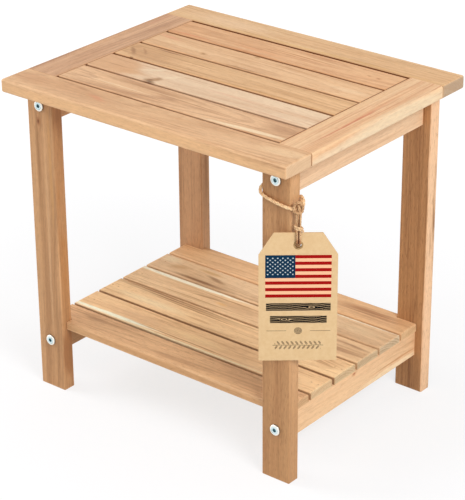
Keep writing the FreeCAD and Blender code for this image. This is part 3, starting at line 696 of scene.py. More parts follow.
            streak((-80, 27, 102), (92, 8, 20), (175, 130, 84), 0.75),
            patch((-30, 36.6, 102), (90, 2.4, 20), (173, 128, 82), 0.8, turn=-1),
            patch((-90, 12, 102), (120, 2.0, 20), (185, 139, 92), 0.65, turn=1),
            patch((-60, 5.4, 102), (150, 2.6, 20), (245, 210, 160), 0.6),
            patch((-40, 22, 102), (14, 5, 20), (236, 185, 112), 0.55),
            streak((165, 26, 102), (62, 20, 20), (174, 129, 93), 0.7, turn=-3, core=0.3),
            patch((172, 36, 102), (46, 3, 20), (157, 112, 80), 0.6, turn=-4),
        ],
    },
    "shelf_slat_4": {
        "grain": "X", "seed": 25.9, "pale": (255, 218, 167), "body": (248, 203, 151), "deep": (173, 125, 77),
        "pith": (-10, -48), "figure": 0.55, "lines": 0.2, "streaks": 0.52, "end": (173, 153, 125),
        "marks": [
            patch((-120, -32, 102), (90, 13, 20), (255, 230, 185), 0.8),
            streak((-90, -8, 102), (150, 6.4, 20), (141, 94, 54), 0.95, turn=-1),
            patch((-120, -5.6, 102), (110, 2.8, 20), (145, 98, 57), 0.8, turn=-0.6),
            patch((-56, -15, 102), (100, 2.0, 20), (152, 104, 62), 0.75, turn=-1.5),
            streak((-32, -33, 102), (36, 4, 20), (208, 157, 106), 0.6),
            streak((165, -18, 102), (50, 16, 20), (182, 131, 86), 0.65, turn=-4),
        ],
    },
    "shelf_slat_5": {
        "grain": "X", "seed": 26.4, "pale": (255, 216, 166), "body": (243, 200, 148), "deep": (191, 142, 96),
        "pith": (16, -56), "figure": 0.55, "lines": 0.22, "end": (195, 169, 135),
        "marks": [
            patch((-110, -77, 102), (74, 16, 20), (214, 172, 132), 0.45),
            streak((5, -66, 102), (80, 4, 20), (195, 146, 97), 0.55, turn=-2),
            patch((-90, -60, 102), (90, 2.2, 20), (205, 155, 105), 0.55, turn=-1),
            patch((4, -78, 102), (74, 13, 20), (255, 221, 168), 0.7),
            patch((-140, -93, 102), (104, 5.2, 20), (255, 254, 226), 1.0, turn=1, core=0.45),
            patch((10, -97.0, 102), (200, 2.2, 20), (255, 239, 196), 0.9, core=0.4),
            patch((-10, -90.4, 102), (150, 1.8, 20), (172, 124, 78), 0.75, turn=-0.6),
        ],
    },
    "shelf_slat_6": {
        "grain": "X", "seed": 27.7, "pale": (232, 188, 141), "body": (218, 173, 128), "deep": (171, 123, 83),
        "pith": (24, -60), "tilt": 0.03, "lines": 0.3, "pores": 0.5, "end": (200, 162, 120),
        "marks": [
            streak((-152, -114, 102), (38, 9, 20), (160, 116, 80), 0.7, turn=-3),
            streak((-90, -116, 102), (60, 5, 20), (178, 133, 92), 0.5, turn=-1),
            patch((-176, -124, 102), (16, 7, 9), (229, 182, 138), 0.6),
            streak((20, -136, 102), (70, 9, 20), (169, 123, 85), 0.6),
            streak((40, -108, 102), (110, 3, 20), (175, 127, 87), 0.6),
            patch((80, -144, 102), (80, 6, 20), (233, 188, 138), 0.5),
            patch((0, -149, 95), (260, 3, 9), (201, 148, 98), 0.6, core=0.5),
        ],
    },
}

# How dark the painted shade in each gap is, from the back: those of the top, with the frame's two, and those
# of the shelf; slatEnds darkens the joint lines at the slat ends.
gapShadeAndJointDepths = {
    "top": [1.0, 0.72, 0.60, 0.74, 0.52, 0.54],
    "shelf": [0.0, 0.1, 0.3, 0.65, 0.5],
    "slatEnds": 0.85,
}


def gapsOf(boardName, values):
    top, shelf, ends = (values[key] for key in ("top", "shelf", "slatEnds"))
    rows = {"top_back_rail": [(1, -1, top[0])], "top_front_rail": [(1, 1, top[-1])],
            "top_left_end_rail": [(0, 1, ends)], "top_right_end_rail": [(0, -1, ends)],
            "shelf_slat_1": [(1, -1, shelf[0])], "shelf_slat_6": [(1, 1, shelf[-1])]}
    for number in range(1, 6):
        rows["top_slat_" + str(number)] = [(0, -1, ends), (0, 1, ends), (1, 1, top[number - 1]),
                                           (1, -1, top[number])]
    for number in range(2, 6):
        rows["shelf_slat_" + str(number)] = [(1, 1, shelf[number - 2]), (1, -1, shelf[number - 1])]
    return rows.get(boardName, [])


for boardName, board in boards.items():
    finish = woodFinish(boardName + "_wood", {"of": boardName, "gapShadeAndJoints": gapsOf(boardName, gapShadeAndJointDepths), **board})
    nodes[boardName].material_slots[0].material = finish
print("wood finished:", len(boards), "boards")

# The tag hangs across the front right leg's corner. Places near it are in mm: along the card from that
# corner, out from the card, and above the floor.
tagValues = {
    "turn": 39.0,                         # degrees that the card faces to the side
    "corner": (0.2140, -0.1575, 0.0),     # m
    "middle": 9.5,                        # the card's middle line
    "cardWidth": 95.0,
    "cardTop": 351.5,
}
tagMiddle = tagValues["middle"]
tagTurn = math.radians(tagValues["turn"])
tagWay = Vector((math.cos(tagTurn), math.sin(tagTurn), 0.0))
tagOutward = Vector((math.sin(tagTurn), -math.cos(tagTurn), 0.0))


def onTag(along, out, height):
    fromCorner = tagWay * along + tagOutward * out + Vector((0.0, 0.0, height))
    return Vector(tagValues["corner"]) + fromCorner * millimetre


def tagRoute(points, out=0.0, height=0.0):  # places from the card's middle line and from a given level
    return [onTag(tagMiddle + along, out + further, height + rise) for along, further, rise in points]


class Tree:  # a Geometry Nodes tree that is built one node at a time
    def __init__(self, name, inputs):
        self.group = bpy.data.node_groups.new(name, "GeometryNodeTree")
        self.group.interface.new_socket("Geometry", in_out="OUTPUT", socket_type="NodeSocketGeometry")
        self.keys = {}
        for label, kind in inputs:
            made = self.group.interface.new_socket(label, in_out="INPUT", socket_type=kind)
            self.keys[label] = made.identifier
        entry = self.group.nodes.new("NodeGroupInput")
        self.given = {label: entry.outputs[label] for label, kind in inputs}

    def node(self, kind, settings, values, output=0):
        made = self.group.nodes.new(kind)
        for key, setting in settings.items():
            setattr(made, key, setting)
        for key, value in values.items():
            if isinstance(value, bpy.types.NodeSocket):
                self.group.links.new(value, made.inputs[key])
            else:
                made.inputs[key].default_value = value
        return made.outputs[output] if len(made.outputs) else None

    def maths(self, operation, *values):
        return self.node("ShaderNodeMath", {"operation": operation}, dict(enumerate(values)))

    def store(self, geometry, name, value):
        return self.node("GeometryNodeStoreNamedAttribute", {"data_type": "FLOAT", "domain": "POINT"},
                         {"Geometry": geometry, "Name": name, "Value": value})

    def close(self, geometry):
        finished = self.node("GeometryNodeSetMaterial", {},
                             {"Geometry": geometry, "Material": self.given["Finish"]})
        self.node("NodeGroupOutput", {}, {"Geometry": finished})


# Twine: three plies laid round each other, from one node tree that is used for every length of it.
twineValues = {           # lengths are in diameters of the twine
    "plies": 3,
    "lay": 4.2,           # from one turn of a ply to its next
    "plyReach": 0.235,    # from the twine's middle line to a ply's
    "plyRadius": 0.275,
    "plySides": 12,
    "step": 0.14,         # between the points along it
    "wobble": (260.0, 1.6),           # changes in a metre, and how far a turn slips, in radians
    "clean": ((255, 228, 182), (228, 174, 124)),    # tones where the twine's depth is 0
    "stained": ((208, 154, 106), (102, 54, 24)),    # and where it is 1
    "fleck": (102, 54, 28),
    "creaseShade": (96, 48, 22),           # painted shade where the two hanging strands face each other
    "creaseShadeEdge": (1.4, 0.6),         # mm from the line between them, from bare to full painted shade
    "entry": (150, 84, 42),           # painted shade where they go into the eyelet
    "entryShadeHeights": (0.3450, 0.3425),     # m above the floor
    "spreadHeights": (0.356, 0.376),      # m, where the strands part
    "spread": 0.5,                        # mm that each has moved aside at the upper one
    "hangingHeights": (0.378, 0.375),     # m, where the knot ends and the strands begin
    "hangingDepths": (0.3, 0.38),         # only twine with at least this depth of tone hangs
}


def makeTwineTree(values):
    tree = Tree("twistedTwine", [("Line", "NodeSocketGeometry"), ("Diameter", "NodeSocketFloat"),
                                 ("Lay", "NodeSocketFloat"), ("Step", "NodeSocketFloat"),
                                 ("Depth", "NodeSocketFloat"), ("Finish", "NodeSocketMaterial")])
    given = tree.given
    fine = tree.node("GeometryNodeResampleCurve", {"mode": "LENGTH"},
                     {"Curve": given["Line"], "Length": given["Step"]})
    doubled = tree.group.nodes.new("GeometryNodeDuplicateElements")
    doubled.domain = "SPLINE"
    tree.group.links.new(fine, doubled.inputs["Geometry"])
    doubled.inputs["Amount"].default_value = values["plies"]
    whichPly = doubled.outputs["Duplicate Index"]
    along = tree.node("GeometryNodeSplineParameter", {}, {}, "Length")

    # each ply turns round the line, a share of a turn behind the one before, and slips a little
    turn = tree.maths("MULTIPLY", tree.maths("DIVIDE", along, given["Lay"]), 2 * math.pi)
    turn = tree.maths("ADD", turn, tree.maths("MULTIPLY", whichPly, 2 * math.pi / values["plies"]))
    changes, slip = values["wobble"]
    wobble = tree.node("ShaderNodeTexNoise", {"noise_dimensions": "1D"},
                       {"W": tree.maths("MULTIPLY", along, changes), "Scale": 1.0, "Detail": 1.0})
    turn = tree.maths("ADD", turn, tree.maths("MULTIPLY", wobble, slip))
    sideways = tree.node("GeometryNodeInputNormal", {}, {}, "Normal")
    tangent = tree.node("GeometryNodeInputTangent", {}, {})
    other = tree.node("ShaderNodeVectorMath", {"operation": "CROSS_PRODUCT"}, {0: tangent, 1: sideways})
    reach = tree.maths("MULTIPLY", given["Diameter"], values["plyReach"])
    shifts = []
    for operation, way in (("COSINE", sideways), ("SINE", other)):
        share = tree.maths("MULTIPLY", tree.maths(operation, turn), reach)
        shifts.append(tree.node("ShaderNodeVectorMath", {"operation": "SCALE"}, {0: way, "Scale": share}))
    shift = tree.node("ShaderNodeVectorMath", {"operation": "ADD"}, dict(enumerate(shifts)))

    plies = tree.store(doubled.outputs["Geometry"], "alongTwine", along)
    plies = tree.store(plies, "toneDepth", given["Depth"])
    laid = tree.node("GeometryNodeSetPosition", {}, {"Geometry": plies, "Offset": shift})
    ring = tree.node("GeometryNodeCurvePrimitiveCircle", {"mode": "RADIUS"},
                     {"Resolution": values["plySides"],
                      "Radius": tree.maths("MULTIPLY", given["Diameter"], values["plyRadius"])})
    ring = tree.store(ring, "roundPly", tree.node("GeometryNodeSplineParameter", {}, {}, "Factor"))
    solid = tree.node("GeometryNodeCurveToMesh", {},
                      {"Curve": laid, "Profile Curve": ring, "Fill Caps": True})
    tree.close(tree.node("GeometryNodeSetShadeSmooth", {}, {"Geometry": solid, "Shade Smooth": True}))
    return tree


def makeTwineFinish(values):
    material, start = newFinish("twineFibre")
    along = start.attribute("alongTwine")
    lean = start.attribute("roundPly") + along * 90.0    # the fibres of a ply lean round it
    fibre = start.spot(lean * 9.0, along * 160.0, 0.0).noise(3.0, 0.65)
    fleck = start.spot(lean * 4.0, along * 420.0, 7.0).noise(2.0, 0.6).rise(0.56, 0.70)
    cloud = start.spot(along * 110.0, 0.0, 3.0).noise(1.0, 0.5).rise(0.45, 0.75) * 0.5
    depth = start.attribute("toneDepth")
    tones = []
    for light, dark in (values["clean"], values["stained"]):
        tones.append(fibre.rise(0.36, 0.64).between(paint(*dark), paint(*light)).over(cloud, paint(*light)))
    colour = depth.between(*tones).over(fleck * 0.85, paint(*values["fleck"]))

    # the two hanging strands get painted shade where they face each other and where they go into the eyelet
    fromMiddle = start.texture().vector("SUBTRACT", tuple(onTag(tagMiddle, 0, 0)))
    height = fromMiddle.axes()[2]
    apart = height.rise(*values["spreadHeights"]) * (values["spread"] * millimetre)
    creaseShadeMask = fromMiddle.along(tagWay).size() - apart
    creaseShadeMask = creaseShadeMask.rise(*[level * millimetre for level in values["creaseShadeEdge"]])
    hanging = depth.rise(*values["hangingDepths"]) * height.rise(*values["hangingHeights"])
    colour = colour.over(height.rise(*values["entryShadeHeights"]) * hanging * 0.6, paint(*values["entry"]))
    colour = colour.over(creaseShadeMask * hanging * 0.85, paint(*values["creaseShade"]))
    closeFinish(start, colour, 0.78 + fibre * 0.15, fibre - fleck * 0.5, 0.00025,
                {"Specular IOR Level": 0.25})
    return material


twineTree = makeTwineTree(twineValues)
twineFinish = makeTwineFinish(twineValues)


def softLine(name, route):  # a smooth NURBS line with the route's points as control points
    curve = bpy.data.curves.new(name, "CURVE")
    curve.dimensions = "3D"
    curve.resolution_u = 16
    spline = curve.splines.new("NURBS")
    spline.points.add(len(route) - 1)
    for point, place in zip(spline.points, route):
        point.co = (*place, 1.0)
    spline.order_u = 3
    spline.use_endpoint_u = True
    return addObject(name, curve)


def linePoints(holder):  # the smooth line's own points
    found = bpy.data.meshes.new_from_object(holder.evaluated_get(bpy.context.evaluated_depsgraph_get()))
    points = [tuple(vertex.co) for vertex in found.vertices]
    bpy.data.meshes.remove(found)
    return points


def grown(source, tree, values):  # the plain mesh that a tree makes of an object, which is then removed
    modifier = source.modifiers.new("grow", "NODES")
    modifier.node_group = tree.group
    for label, value in values.items():
        modifier[tree.keys[label]] = value
    bpy.context.view_layer.update()
    made = source.evaluated_get(bpy.context.evaluated_depsgraph_get())
    mesh = bpy.data.meshes.new_from_object(made)
    bpy.data.objects.remove(source)
    return mesh


def newPiece(name, mesh, body, replaced):
    piece = addObject(name, mesh)
    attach(piece, body)
    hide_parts(replaced)
    return piece


def makeTwine(name, routes, values, body, replaced):
    diameter = values["diameter"]
    joined = bmesh.new()
    paths = []
    for index, route in enumerate(routes):
        holder = softLine(name + "Line" + str(index), route)
        paths.append(linePoints(holder))
        mesh = grown(holder, twineTree, {"Diameter": diameter, "Lay": diameter * twineValues["lay"],
                                         "Depth": values["depth"], "Step": diameter * twineValues["step"],
                                         "Finish": twineFinish})
        joined.from_mesh(mesh)
        bpy.data.meshes.remove(mesh)
    whole = bpy.data.meshes.new(name)
    joined.to_mesh(whole)
    joined.free()
    whole.materials.append(twineFinish)
    return newPiece(name, whole, body, replaced), paths[0]


# The loop round the front right leg: from the knot along the leg's front, round its left edge, back
# under the upper side rail and out past the leg's right edge to the knot again. In mm.
loopValues = {
    "diameter": 0.0042,
    "length": 0.152,
    "depth": 0.0,       # of the twine's tone, 0 clean and 1 stained
    "route": [
        (219.6, -156.4, 382.4), (216.0, -160.6, 382.4), (192.5, -160.2, 385.0), (169.4, -160.4, 390.4),
        (168.9, -156.0, 399.4), (168.9, -146.0, 399.4), (168.8, -135.2, 389.4), (181.0, -135.2, 386.4),
        (203.4, -135.4, 386.3), (213.8, -136.0, 390.6), (217.8, -138.8, 389.8), (221.8, -142.2, 387.6),
        (224.6, -147.4, 383.0), (223.4, -150.8, 380.2),
    ],
}
loopRoute = [tuple(level * millimetre for level in point) for point in loopValues["route"]]
twineLoop, loopPath = makeTwine("twineLoop", [loopRoute], loopValues, "table", "twine_loop")

# The knot is a hitch: an arch of twine over the front, a strand up its middle and a turn round its foot.
# The fourth piece is a second strand where the loop bulges behind the knot.
knotValues = {
    "diameter": 0.0037,
    "depth": 0.65,
    "out": 1.6,
    "height": 383.0,
    "turns": [
        [(-3.6, -1.0, -7.4), (-5.4, 1.2, -5.2), (-6.2, 2.8, 0.6), (-5.0, 3.5, 6.6), (-1.0, 4.0, 9.6),
         (3.4, 3.8, 7.6), (5.2, 3.0, 2.2), (3.8, 1.6, -3.8), (0.6, -0.6, -7.4)],
        [(2.4, 0.8, -7.0), (0.8, 2.0, -4.0), (0.4, 2.6, 0.6), (0.2, 1.6, 4.6), (-0.8, -1.4, 5.4),
         (-2.2, -1.6, 1.4), (-2.6, 0.6, -3.6)],
        [(-6.4, 0.6, -0.4), (-5.0, 3.0, -3.4), (-0.8, 4.2, -5.2), (3.4, 3.0, -4.6), (4.8, -0.2, -2.0),
         (2.6, -3.0, 0.6), (-1.8, -3.0, 2.0), (-5.4, -1.4, 1.8)],
        [(3.9, -18.6, 6.0), (4.1, -14.4, 6.6), (2.9, -11.4, 5.6), (2.9, -6.8, 3.0), (2.6, -3.4, -0.6),
         (0.4, -1.4, -3.4)],
    ],
}
knotTurns = [tagRoute(turn, knotValues["out"], knotValues["height"]) for turn in knotValues["turns"]]
twineKnot = makeTwine("twineKnot", knotTurns, knotValues, "table", "twine_knot")[0]

# Two strands hang from it side by side, over the card's top and through its eyelet to a stopper behind.
stringValues = {
    "diameter": 0.0032,
    "length": 0.052,
    "depths": {"Left": 0.5, "Right": 0.42},
    "route": [              # to the side from the card's middle line, out from it, and above the floor
        (1.8, 2.0, 381.0), (2.4, 3.3, 375.5), (1.85, 4.2, 369.0), (1.6, 4.2, 362.5), (1.6, 3.8, 357.0),
        (1.65, 5.4, 345.0), (1.55, 5.0, 339.8), (1.5, 3.2, 337.7), (1.5, -3.1, 337.4),
    ],
}
for side, name in ((-1, "Left"), (1, "Right")):
    stringRoute = tagRoute([(side * apart, out, height) for apart, out, height in stringValues["route"]])
    string, stringPath = makeTwine("tagString" + name, [stringRoute],
                                   {**stringValues, "depth": stringValues["depths"][name]},
                                   "hang_tag", "tag_string_" + name.lower())

wrapValues = {
    "diameter": 0.0028,
    "depth": 0.25,
    "out": 3.5,
    "height": 359.0,
    "turn": [(-1.6, -2.0, 0.2), (-4.8, -0.8, 2.2), (-4.2, 2.9, 2.4), (0.4, 3.9, 0.4), (4.4, 2.7, -1.4),
             (4.8, -1.0, -1.6), (0.4, -3.0, 0.6), (-3.2, -2.4, 0.2), (-4.5, 0.8, -0.6), (-1.2, 3.5, -1.8),
             (2.8, 3.5, -2.4), (5.0, 2.6, -3.4), (5.8, 3.0, -4.6)],
}
wrapTurn = tagRoute(wrapValues["turn"], wrapValues["out"], wrapValues["height"])
middleKnot = makeTwine("tagMiddleKnot", [wrapTurn], wrapValues, "hang_tag", "tag_middle_knot")[0]

stopperValues = {
    "diameter": 0.0026,
    "depth": 0.0,
    "out": -3.7,       # behind the card, round the strands' ends
    "height": 334.4,
    "size": 1.34,
    "weave": 1.1,      # how far the strands of the knot pass before and behind each other
    "steps": 24,
}


def trefoil(values):
    size, steps = values["size"], values["steps"]
    points = []
    for step in range(steps + 1):
        angle = 2 * math.pi * step / steps
        points.append((size * (math.sin(angle) + 2 * math.sin(2 * angle)),
                       -values["weave"] * math.sin(3 * angle),
                       size * (math.cos(angle) - 2 * math.cos(2 * angle))))
    return tagRoute(points, values["out"], values["height"])


stopperKnot = makeTwine("tagStopperKnot", [trefoil(stopperValues)], stopperValues, "hang_tag",
                        "tag_stopper_knot")[0]

print("twine and knots made")


def ringPoints(count, reach):  # points round a circle, or a shape whose reach depends on the angle
    points = []
    for step in range(count):
        angle = 2 * math.pi * step / count
        radius = reach(angle) if callable(reach) else reach
        points.append((radius * math.cos(angle), radius * math.sin(angle)))
    return points


def joinRings(made, one, other):
    for step in range(len(one)):
        onward = (step + 1) % len(one)
        made.faces.new((one[step], one[onward], other[onward], other[step]))


def latheMesh(name, loops, segments, place, material, closed=False):  # closed: the last loop meets the first
    made = bmesh.new()
    rings = []
    for reach, height in loops:
        rings.append([made.verts.new(place(x, y, height)) for x, y in ringPoints(segments, reach)])
    for one, other in zip(rings, rings[1:]):
        joinRings(made, one, other)
    if closed:
        joinRings(made, rings[-1], rings[0])
    else:
        made.faces.new(rings[0])
        made.faces.new(rings[-1])
    bmesh.ops.recalc_face_normals(made, faces=made.faces)
    mesh = bpy.data.meshes.new(name)
    made.to_mesh(mesh)
    made.free()
    for face in mesh.polygons:
        face.use_smooth = True
    mesh.materials.append(material)
    return mesh


# Fine finishes: two mottled tones with darker flecks.
fineFinishes = {
    "agedBrass": {
        "grain": (900.0, 900.0, 900.0), "mottle": 260.0, "blend": (0.35, 0.7),
        "tones": ((180, 148, 104), (132, 103, 66)), "fleck": (0.6, 0.75, 0.6), "fleckTone": (72, 54, 34),
        "roughness": (0.42, 0.22), "bump": 0.00006, "steady": {"Metallic": 0.9},
    },
    "platedSteel": {
        "grain": (1200.0, 1200.0, 300.0), "mottle": 240.0, "blend": (0.35, 0.7),
        "tones": ((196, 190, 176), (158, 152, 140)), "fleck": (0.62, 0.78, 0.5), "fleckTone": (112, 106, 98),
        "roughness": (0.28, 0.24), "bump": 0.00002, "steady": {"Metallic": 1.0},
    },
    "beechDowel": {
        "grain": (900.0, 500.0, 900.0), "mottle": 90.0, "blend": (0.3, 0.7),
        "tones": ((228, 202, 166), (210, 178, 138)), "fleck": (0.58, 0.72, 0.6), "fleckTone": (176, 138, 98),
        "roughness": (0.6, 0.15), "bump": 0.00008, "steady": {"Specular IOR Level": 0.3},
    },
}


def mottled(place, scale, detail):
    return place.scaled(scale, scale, scale).noise(detail, 0.5)


def fineFinish(name):
    values = fineFinishes[name]
    material, start = newFinish(name)
    place = start.texture()
    grain = place.scaled(*values["grain"]).noise(3.0, 0.6)
    one, other = (paint(*tone) for tone in values["tones"])
    colour = mottled(place, values["mottle"], 2.0).rise(*values["blend"]).between(one, other)
    low, high, strength = values["fleck"]
    colour = colour.over(grain.rise(low, high) * strength, paint(*values["fleckTone"]))
    smooth, change = values["roughness"]
    closeFinish(start, colour, smooth + grain * change, grain, values["bump"], values["steady"])
    return material


# The eyelet: a pressed brass ring whose rolled lips hold the card. In mm.
eyeletValues = {
    "height": 335.5,
    "thickness": 3.2,
    "segments": 48,
    "lip": [(3.7, 1.6), (3.7, 2.75), (3.9, 3.02), (4.35, 3.14), (4.9, 3.08), (5.4, 2.86), (5.72, 2.58),
            (5.8, 2.34)],
    "neck": [(4.4, 2.32), (4.4, 0.88)],
}


def eyeletPlace(x, y, height):  # x along the card, y up, height out from it
    return onTag(tagMiddle + x, height, eyeletValues["height"] + y)


def makeEyelet(values):
    lip = values["lip"]
    otherLip = [(radius, values["thickness"] - height) for radius, height in reversed(lip)]
    mesh = latheMesh("tagEyelet", lip + values["neck"] + otherLip, values["segments"], eyeletPlace,
                     fineFinish("agedBrass"), closed=True)
    newPiece("tagEyelet", mesh, "hang_tag", "tag_eyelet")


makeEyelet(eyeletValues)
print("eyelet made")

# Connector bolts: one head and shank, turned a little differently at each of its eight places. In mm.
boltValues = {
    "segments": 48,
    "tip": [(0.6, -49.4), (2.4, -49.2), (3.0, -48.2)],
    "threads": 14,
    "thread": [(3.0, -46.0), (2.72, -45.2)],    # the first crest and the groove above it
    "pitch": 1.9,
    "head": [(3.0, -18.0), (3.0, -0.2), (3.4, 0.0), (7.3, 0.0), (7.5, 0.15), (7.5, 1.35), (7.36, 1.85),
             (7.0, 2.28), (6.4, 2.52), (5.6, 2.60), (4.0, 2.60), (3.0, 2.58)],
    "socket": 4.6,                       # across the hexagon's flats
    "socketSteps": [(1.12, 2.58), (1.0, 2.40), (0.98, 0.60), (0.0, 0.10)],    # share of its size, height
    "sharpAbove": 38,                    # degrees
    "places": [(x, y, z) for x in (-192.5, 192.5) for y in (-157.5, 157.5) for z in (72.0, 413.08)],
    "turns": (17, 53),                   # degrees of the first, and from each to the next
}


def makeZincFinish():
    material, start = newFinish("brightZinc")
    place = start.texture()
    brushed = place.scaled(1400.0, 260.0, 1400.0).noise(3.0, 0.6)
    mottle = mottled(place, 190.0, 2.0)
    colour = mottle.rise(0.35, 0.7).between(paint(226, 244, 246), paint(204, 230, 236))

    # by mm from the axis: a warm rim with a painted highlight, a blotched ring of painted reflection inside
    # it, painted dark reflection and shade on the head's edge, and painted shade in the socket
    fromAxis = start.attribute("fromAxis")
    colour = colour.over(fromAxis.rise(5.0, 6.0), paint(255, 250, 240))
    reflectionRing = fromAxis.rise(4.2, 4.9) * fromAxis.rise(5.9, 5.2)
    colour = colour.over(reflectionRing * mottled(place, 150.0, 1.0).rise(0.52, 0.64) * 0.7, paint(104, 128, 122))
    colour = colour.over(fromAxis.rise(7.2, 7.5) * 0.85, paint(104, 92, 72))
    colour = colour.over(fromAxis.rise(3.0, 2.4) * 0.85, paint(44, 104, 116))
    closeFinish(start, colour, 0.24 + brushed * 0.16 + mottle * 0.06, brushed, 0.00002, {"Metallic": 0.6})
    return material


def boltPlace(x, y, height):
    return Vector((x, y, height)) * millimetre


def hexReach(across, share):  # from a hexagon's middle to its side, as a function of the angle
    def reach(angle):
        return max(0.05, across / 2 / math.cos((angle % (math.pi / 3)) - math.pi / 6) * share)
    return reach


def makeBoltMesh(values, material):
    loops = list(values["tip"])
    for turn in range(values["threads"]):
        loops += [(radius, height + turn * values["pitch"]) for radius, height in values["thread"]]
    loops += values["head"]
    loops += [(hexReach(values["socket"], share), height) for share, height in values["socketSteps"]]
    mesh = latheMesh("connectorBolt", loops, values["segments"], boltPlace, material)
    mesh.set_sharp_from_angle(angle=math.radians(values["sharpAbove"]))
    axis = mesh.attributes.new("fromAxis", "FLOAT", "POINT")
    for vertex, entry in zip(mesh.vertices, axis.data):
        entry.value = math.hypot(vertex.co.x, vertex.co.y) / millimetre
    return mesh


def makeBoltTree():
    tree = Tree("boltsAtPlaces", [("Places", "NodeSocketGeometry"), ("Bolt", "NodeSocketObject"),
                                  ("Finish", "NodeSocketMaterial")])
    bolt = tree.node("GeometryNodeObjectInfo", {}, {"Object": tree.given["Bolt"]}, "Geometry")
    turned = tree.node("GeometryNodeInputNamedAttribute", {"data_type": "FLOAT_VECTOR"}, {"Name": "turned"})
    put = tree.node("GeometryNodeInstanceOnPoints", {}, {"Points": tree.given["Places"], "Instance": bolt,
                                                         "Rotation": turned})
    tree.close(tree.node("GeometryNodeRealizeInstances", {}, {"Geometry": put}))
    return tree


def makeBolts(values):
    zinc = makeZincFinish()
    bolt = addObject("connectorBolt", makeBoltMesh(values, zinc))
    spots = bpy.data.meshes.new("boltPlaces")
    spots.from_pydata([boltPlace(*place) for place in values["places"]], [], [])
    turned = spots.attributes.new("turned", "FLOAT_VECTOR", "POINT")
    first, onward = values["turns"]
    for number, (place, entry) in enumerate(zip(values["places"], turned.data)):
        spin = Matrix.Rotation(math.radians(first + onward * number), 3, "Z")
        tip = Matrix.Rotation(math.radians(90 if place[1] < 0 else -90), 3, "X")
        entry.vector = (tip @ spin).to_euler()
    mesh = grown(addObject("boltPlaces", spots), makeBoltTree(), {"Bolt": bolt, "Finish": zinc})
    bpy.data.objects.remove(bolt)
    newPiece("connectorBolts", mesh, "table", "leg_bolts")


makeBolts(boltValues)
print("connector bolts made")


# Screws, cross nuts, brads and dowels keep their CAD shapes.
def makeFilledFinish():  # the brads' heads are set and filled, so a shelf slat's top shows only a faint spot
    material, start = newFinish("filledBrad")
    place = start.texture()
    up = start.texture("Normal").axes()[2].rise(0.5, 0.9)
    grain = place.scaled(700.0, 2400.0, 700.0).noise(3.0, 0.6)
    filler = mottled(place, 60.0, 1.0).rise(0.3, 0.7).between(paint(222, 180, 138), paint(206, 160, 116))
    filler = filler.over(grain.rise(0.5, 0.75) * 0.5, paint(186, 138, 96))
    steel = grain.between(paint(190, 186, 178), paint(150, 146, 138))
    closeFinish(start, steel.over(up, filler), 0.35 + up * 0.25 + grain * 0.1, grain, 0.00003,
                {"Metallic": 1.0 - up, "Specular IOR Level": 0.3})
    return material


fixings = (
    (fineFinish("platedSteel"), ("cross_nuts", "top_screws", "batten_screws")),
    (makeFilledFinish(), ("shelf_brads",)),
    (fineFinish("beechDowel"), ("leg_dowels", "frame_dowels", "slat_dowels")),
)
for finish, names in fixings:
    for nodeName in names:
        nodes[nodeName].material_slots[0].material = finish
print("fixings finished")

# The tag: kraft card printed on its front with a striped and starred panel, two planks with their grain,
# a growth-ring roundel between two thin rules and a leafy twig at the foot. In mm from its top left corner.
cardValues = {
    "panel": (8.0, 87.4, 29.4, 86.1),            # left, right, top and bottom
    "stripes": 13,
    "canton": (0.455, 7),                        # share of the panel's width, and stripes of its height
    "stars": (11, 9),                            # columns and rows, with every other place empty
    "starsFrom": 1.5,                            # how far the first row is moved down
    "starsDown": 11.4,                           # steps between rows in the canton's height
    "panelTones": {"pale": (248, 192, 152), "red": (160, 6, 6), "blue": (2, 45, 72), "star": (206, 214, 214)},
    "planks": ((9.0, 87.0, 93.6, 103.8, 64.0, 99.2),    # left, right, top, bottom, and its knot's place
               (13.8, 82.4, 110.9, 120.7, 31.0, 115.6)),
    "plankKnot": (7.5, 2.6),                     # half its length and height
    "plankGrain": 2.5,                           # from one grain line to the next
    "roundel": (47.8, 131.2),
    "roundelRing": 1.3,
    "roundelRim": (4.9, 4.6),                    # where it ends and where it is full
    "rules": ((9.4, 33.6), (62.6, 87.0)),
    "ruleEdges": (130.9, 131.5),
    "twig": (17.0, 78.6, 150.9),                 # left, right and height
    "stemEdges": (-0.3, 0.4),                    # from the twig's height
    "leafStep": 5.6,
    "leafSize": (1.05, 3.1),                     # half its width and length
    "leafLean": 0.62,                            # radians
    "inks": {"plank": (8, 6, 6), "roundel": (20, 16, 14), "twig": (72, 54, 36)},
}


def reachOf(across, down):
    squares = across * across + down * down
    return squares.maths("SQRT", squares)


def stripedPanel(u, v, values):  # its colour, and where it is
    left, right, top, bottom = values["panel"]
    tones = {key: paint(*tone) for key, tone in values["panelTones"].items()}
    stripe = (v - top) / ((bottom - top) / values["stripes"])
    colour = (stripe * 0.5).part().rise(0.51, 0.49).between(tones["pale"], tones["red"])
    share, count = values["canton"]
    wide = (right - left) * share
    high = (bottom - top) * count / values["stripes"]
    canton = u.inside(left, left + wide) * v.inside(top, top + high)
    colour = colour.over(canton, tones["blue"])

    # rows of stars, every other one moved half a step
    columns, rows = values["stars"]
    across = (u - left) / (wide / (columns + 1))
    down = (v - top - values["starsFrom"]) / (high / values["starsDown"])
    column, row = (level.maths("ROUND", level) for level in (across, down))
    near, nearDown = column - across, row - down
    matched = ((column + row) * 0.5).part().rise(0.3, 0.2)
    within = across.inside(0.5, columns + 0.5, 0.02) * down.inside(0.5, rows + 0.5, 0.02)
    fold = ((near.maths("ARCTAN2", near, nearDown) * (5 / (2 * math.pi))).part() - 0.5).size() * 2.0
    star = (reachOf(near, nearDown) * (0.9 + fold * 1.1)).rise(0.44, 0.34) * matched * within
    return colour.over(star * canton, tones["star"]), u.inside(left, right) * v.inside(top, bottom)


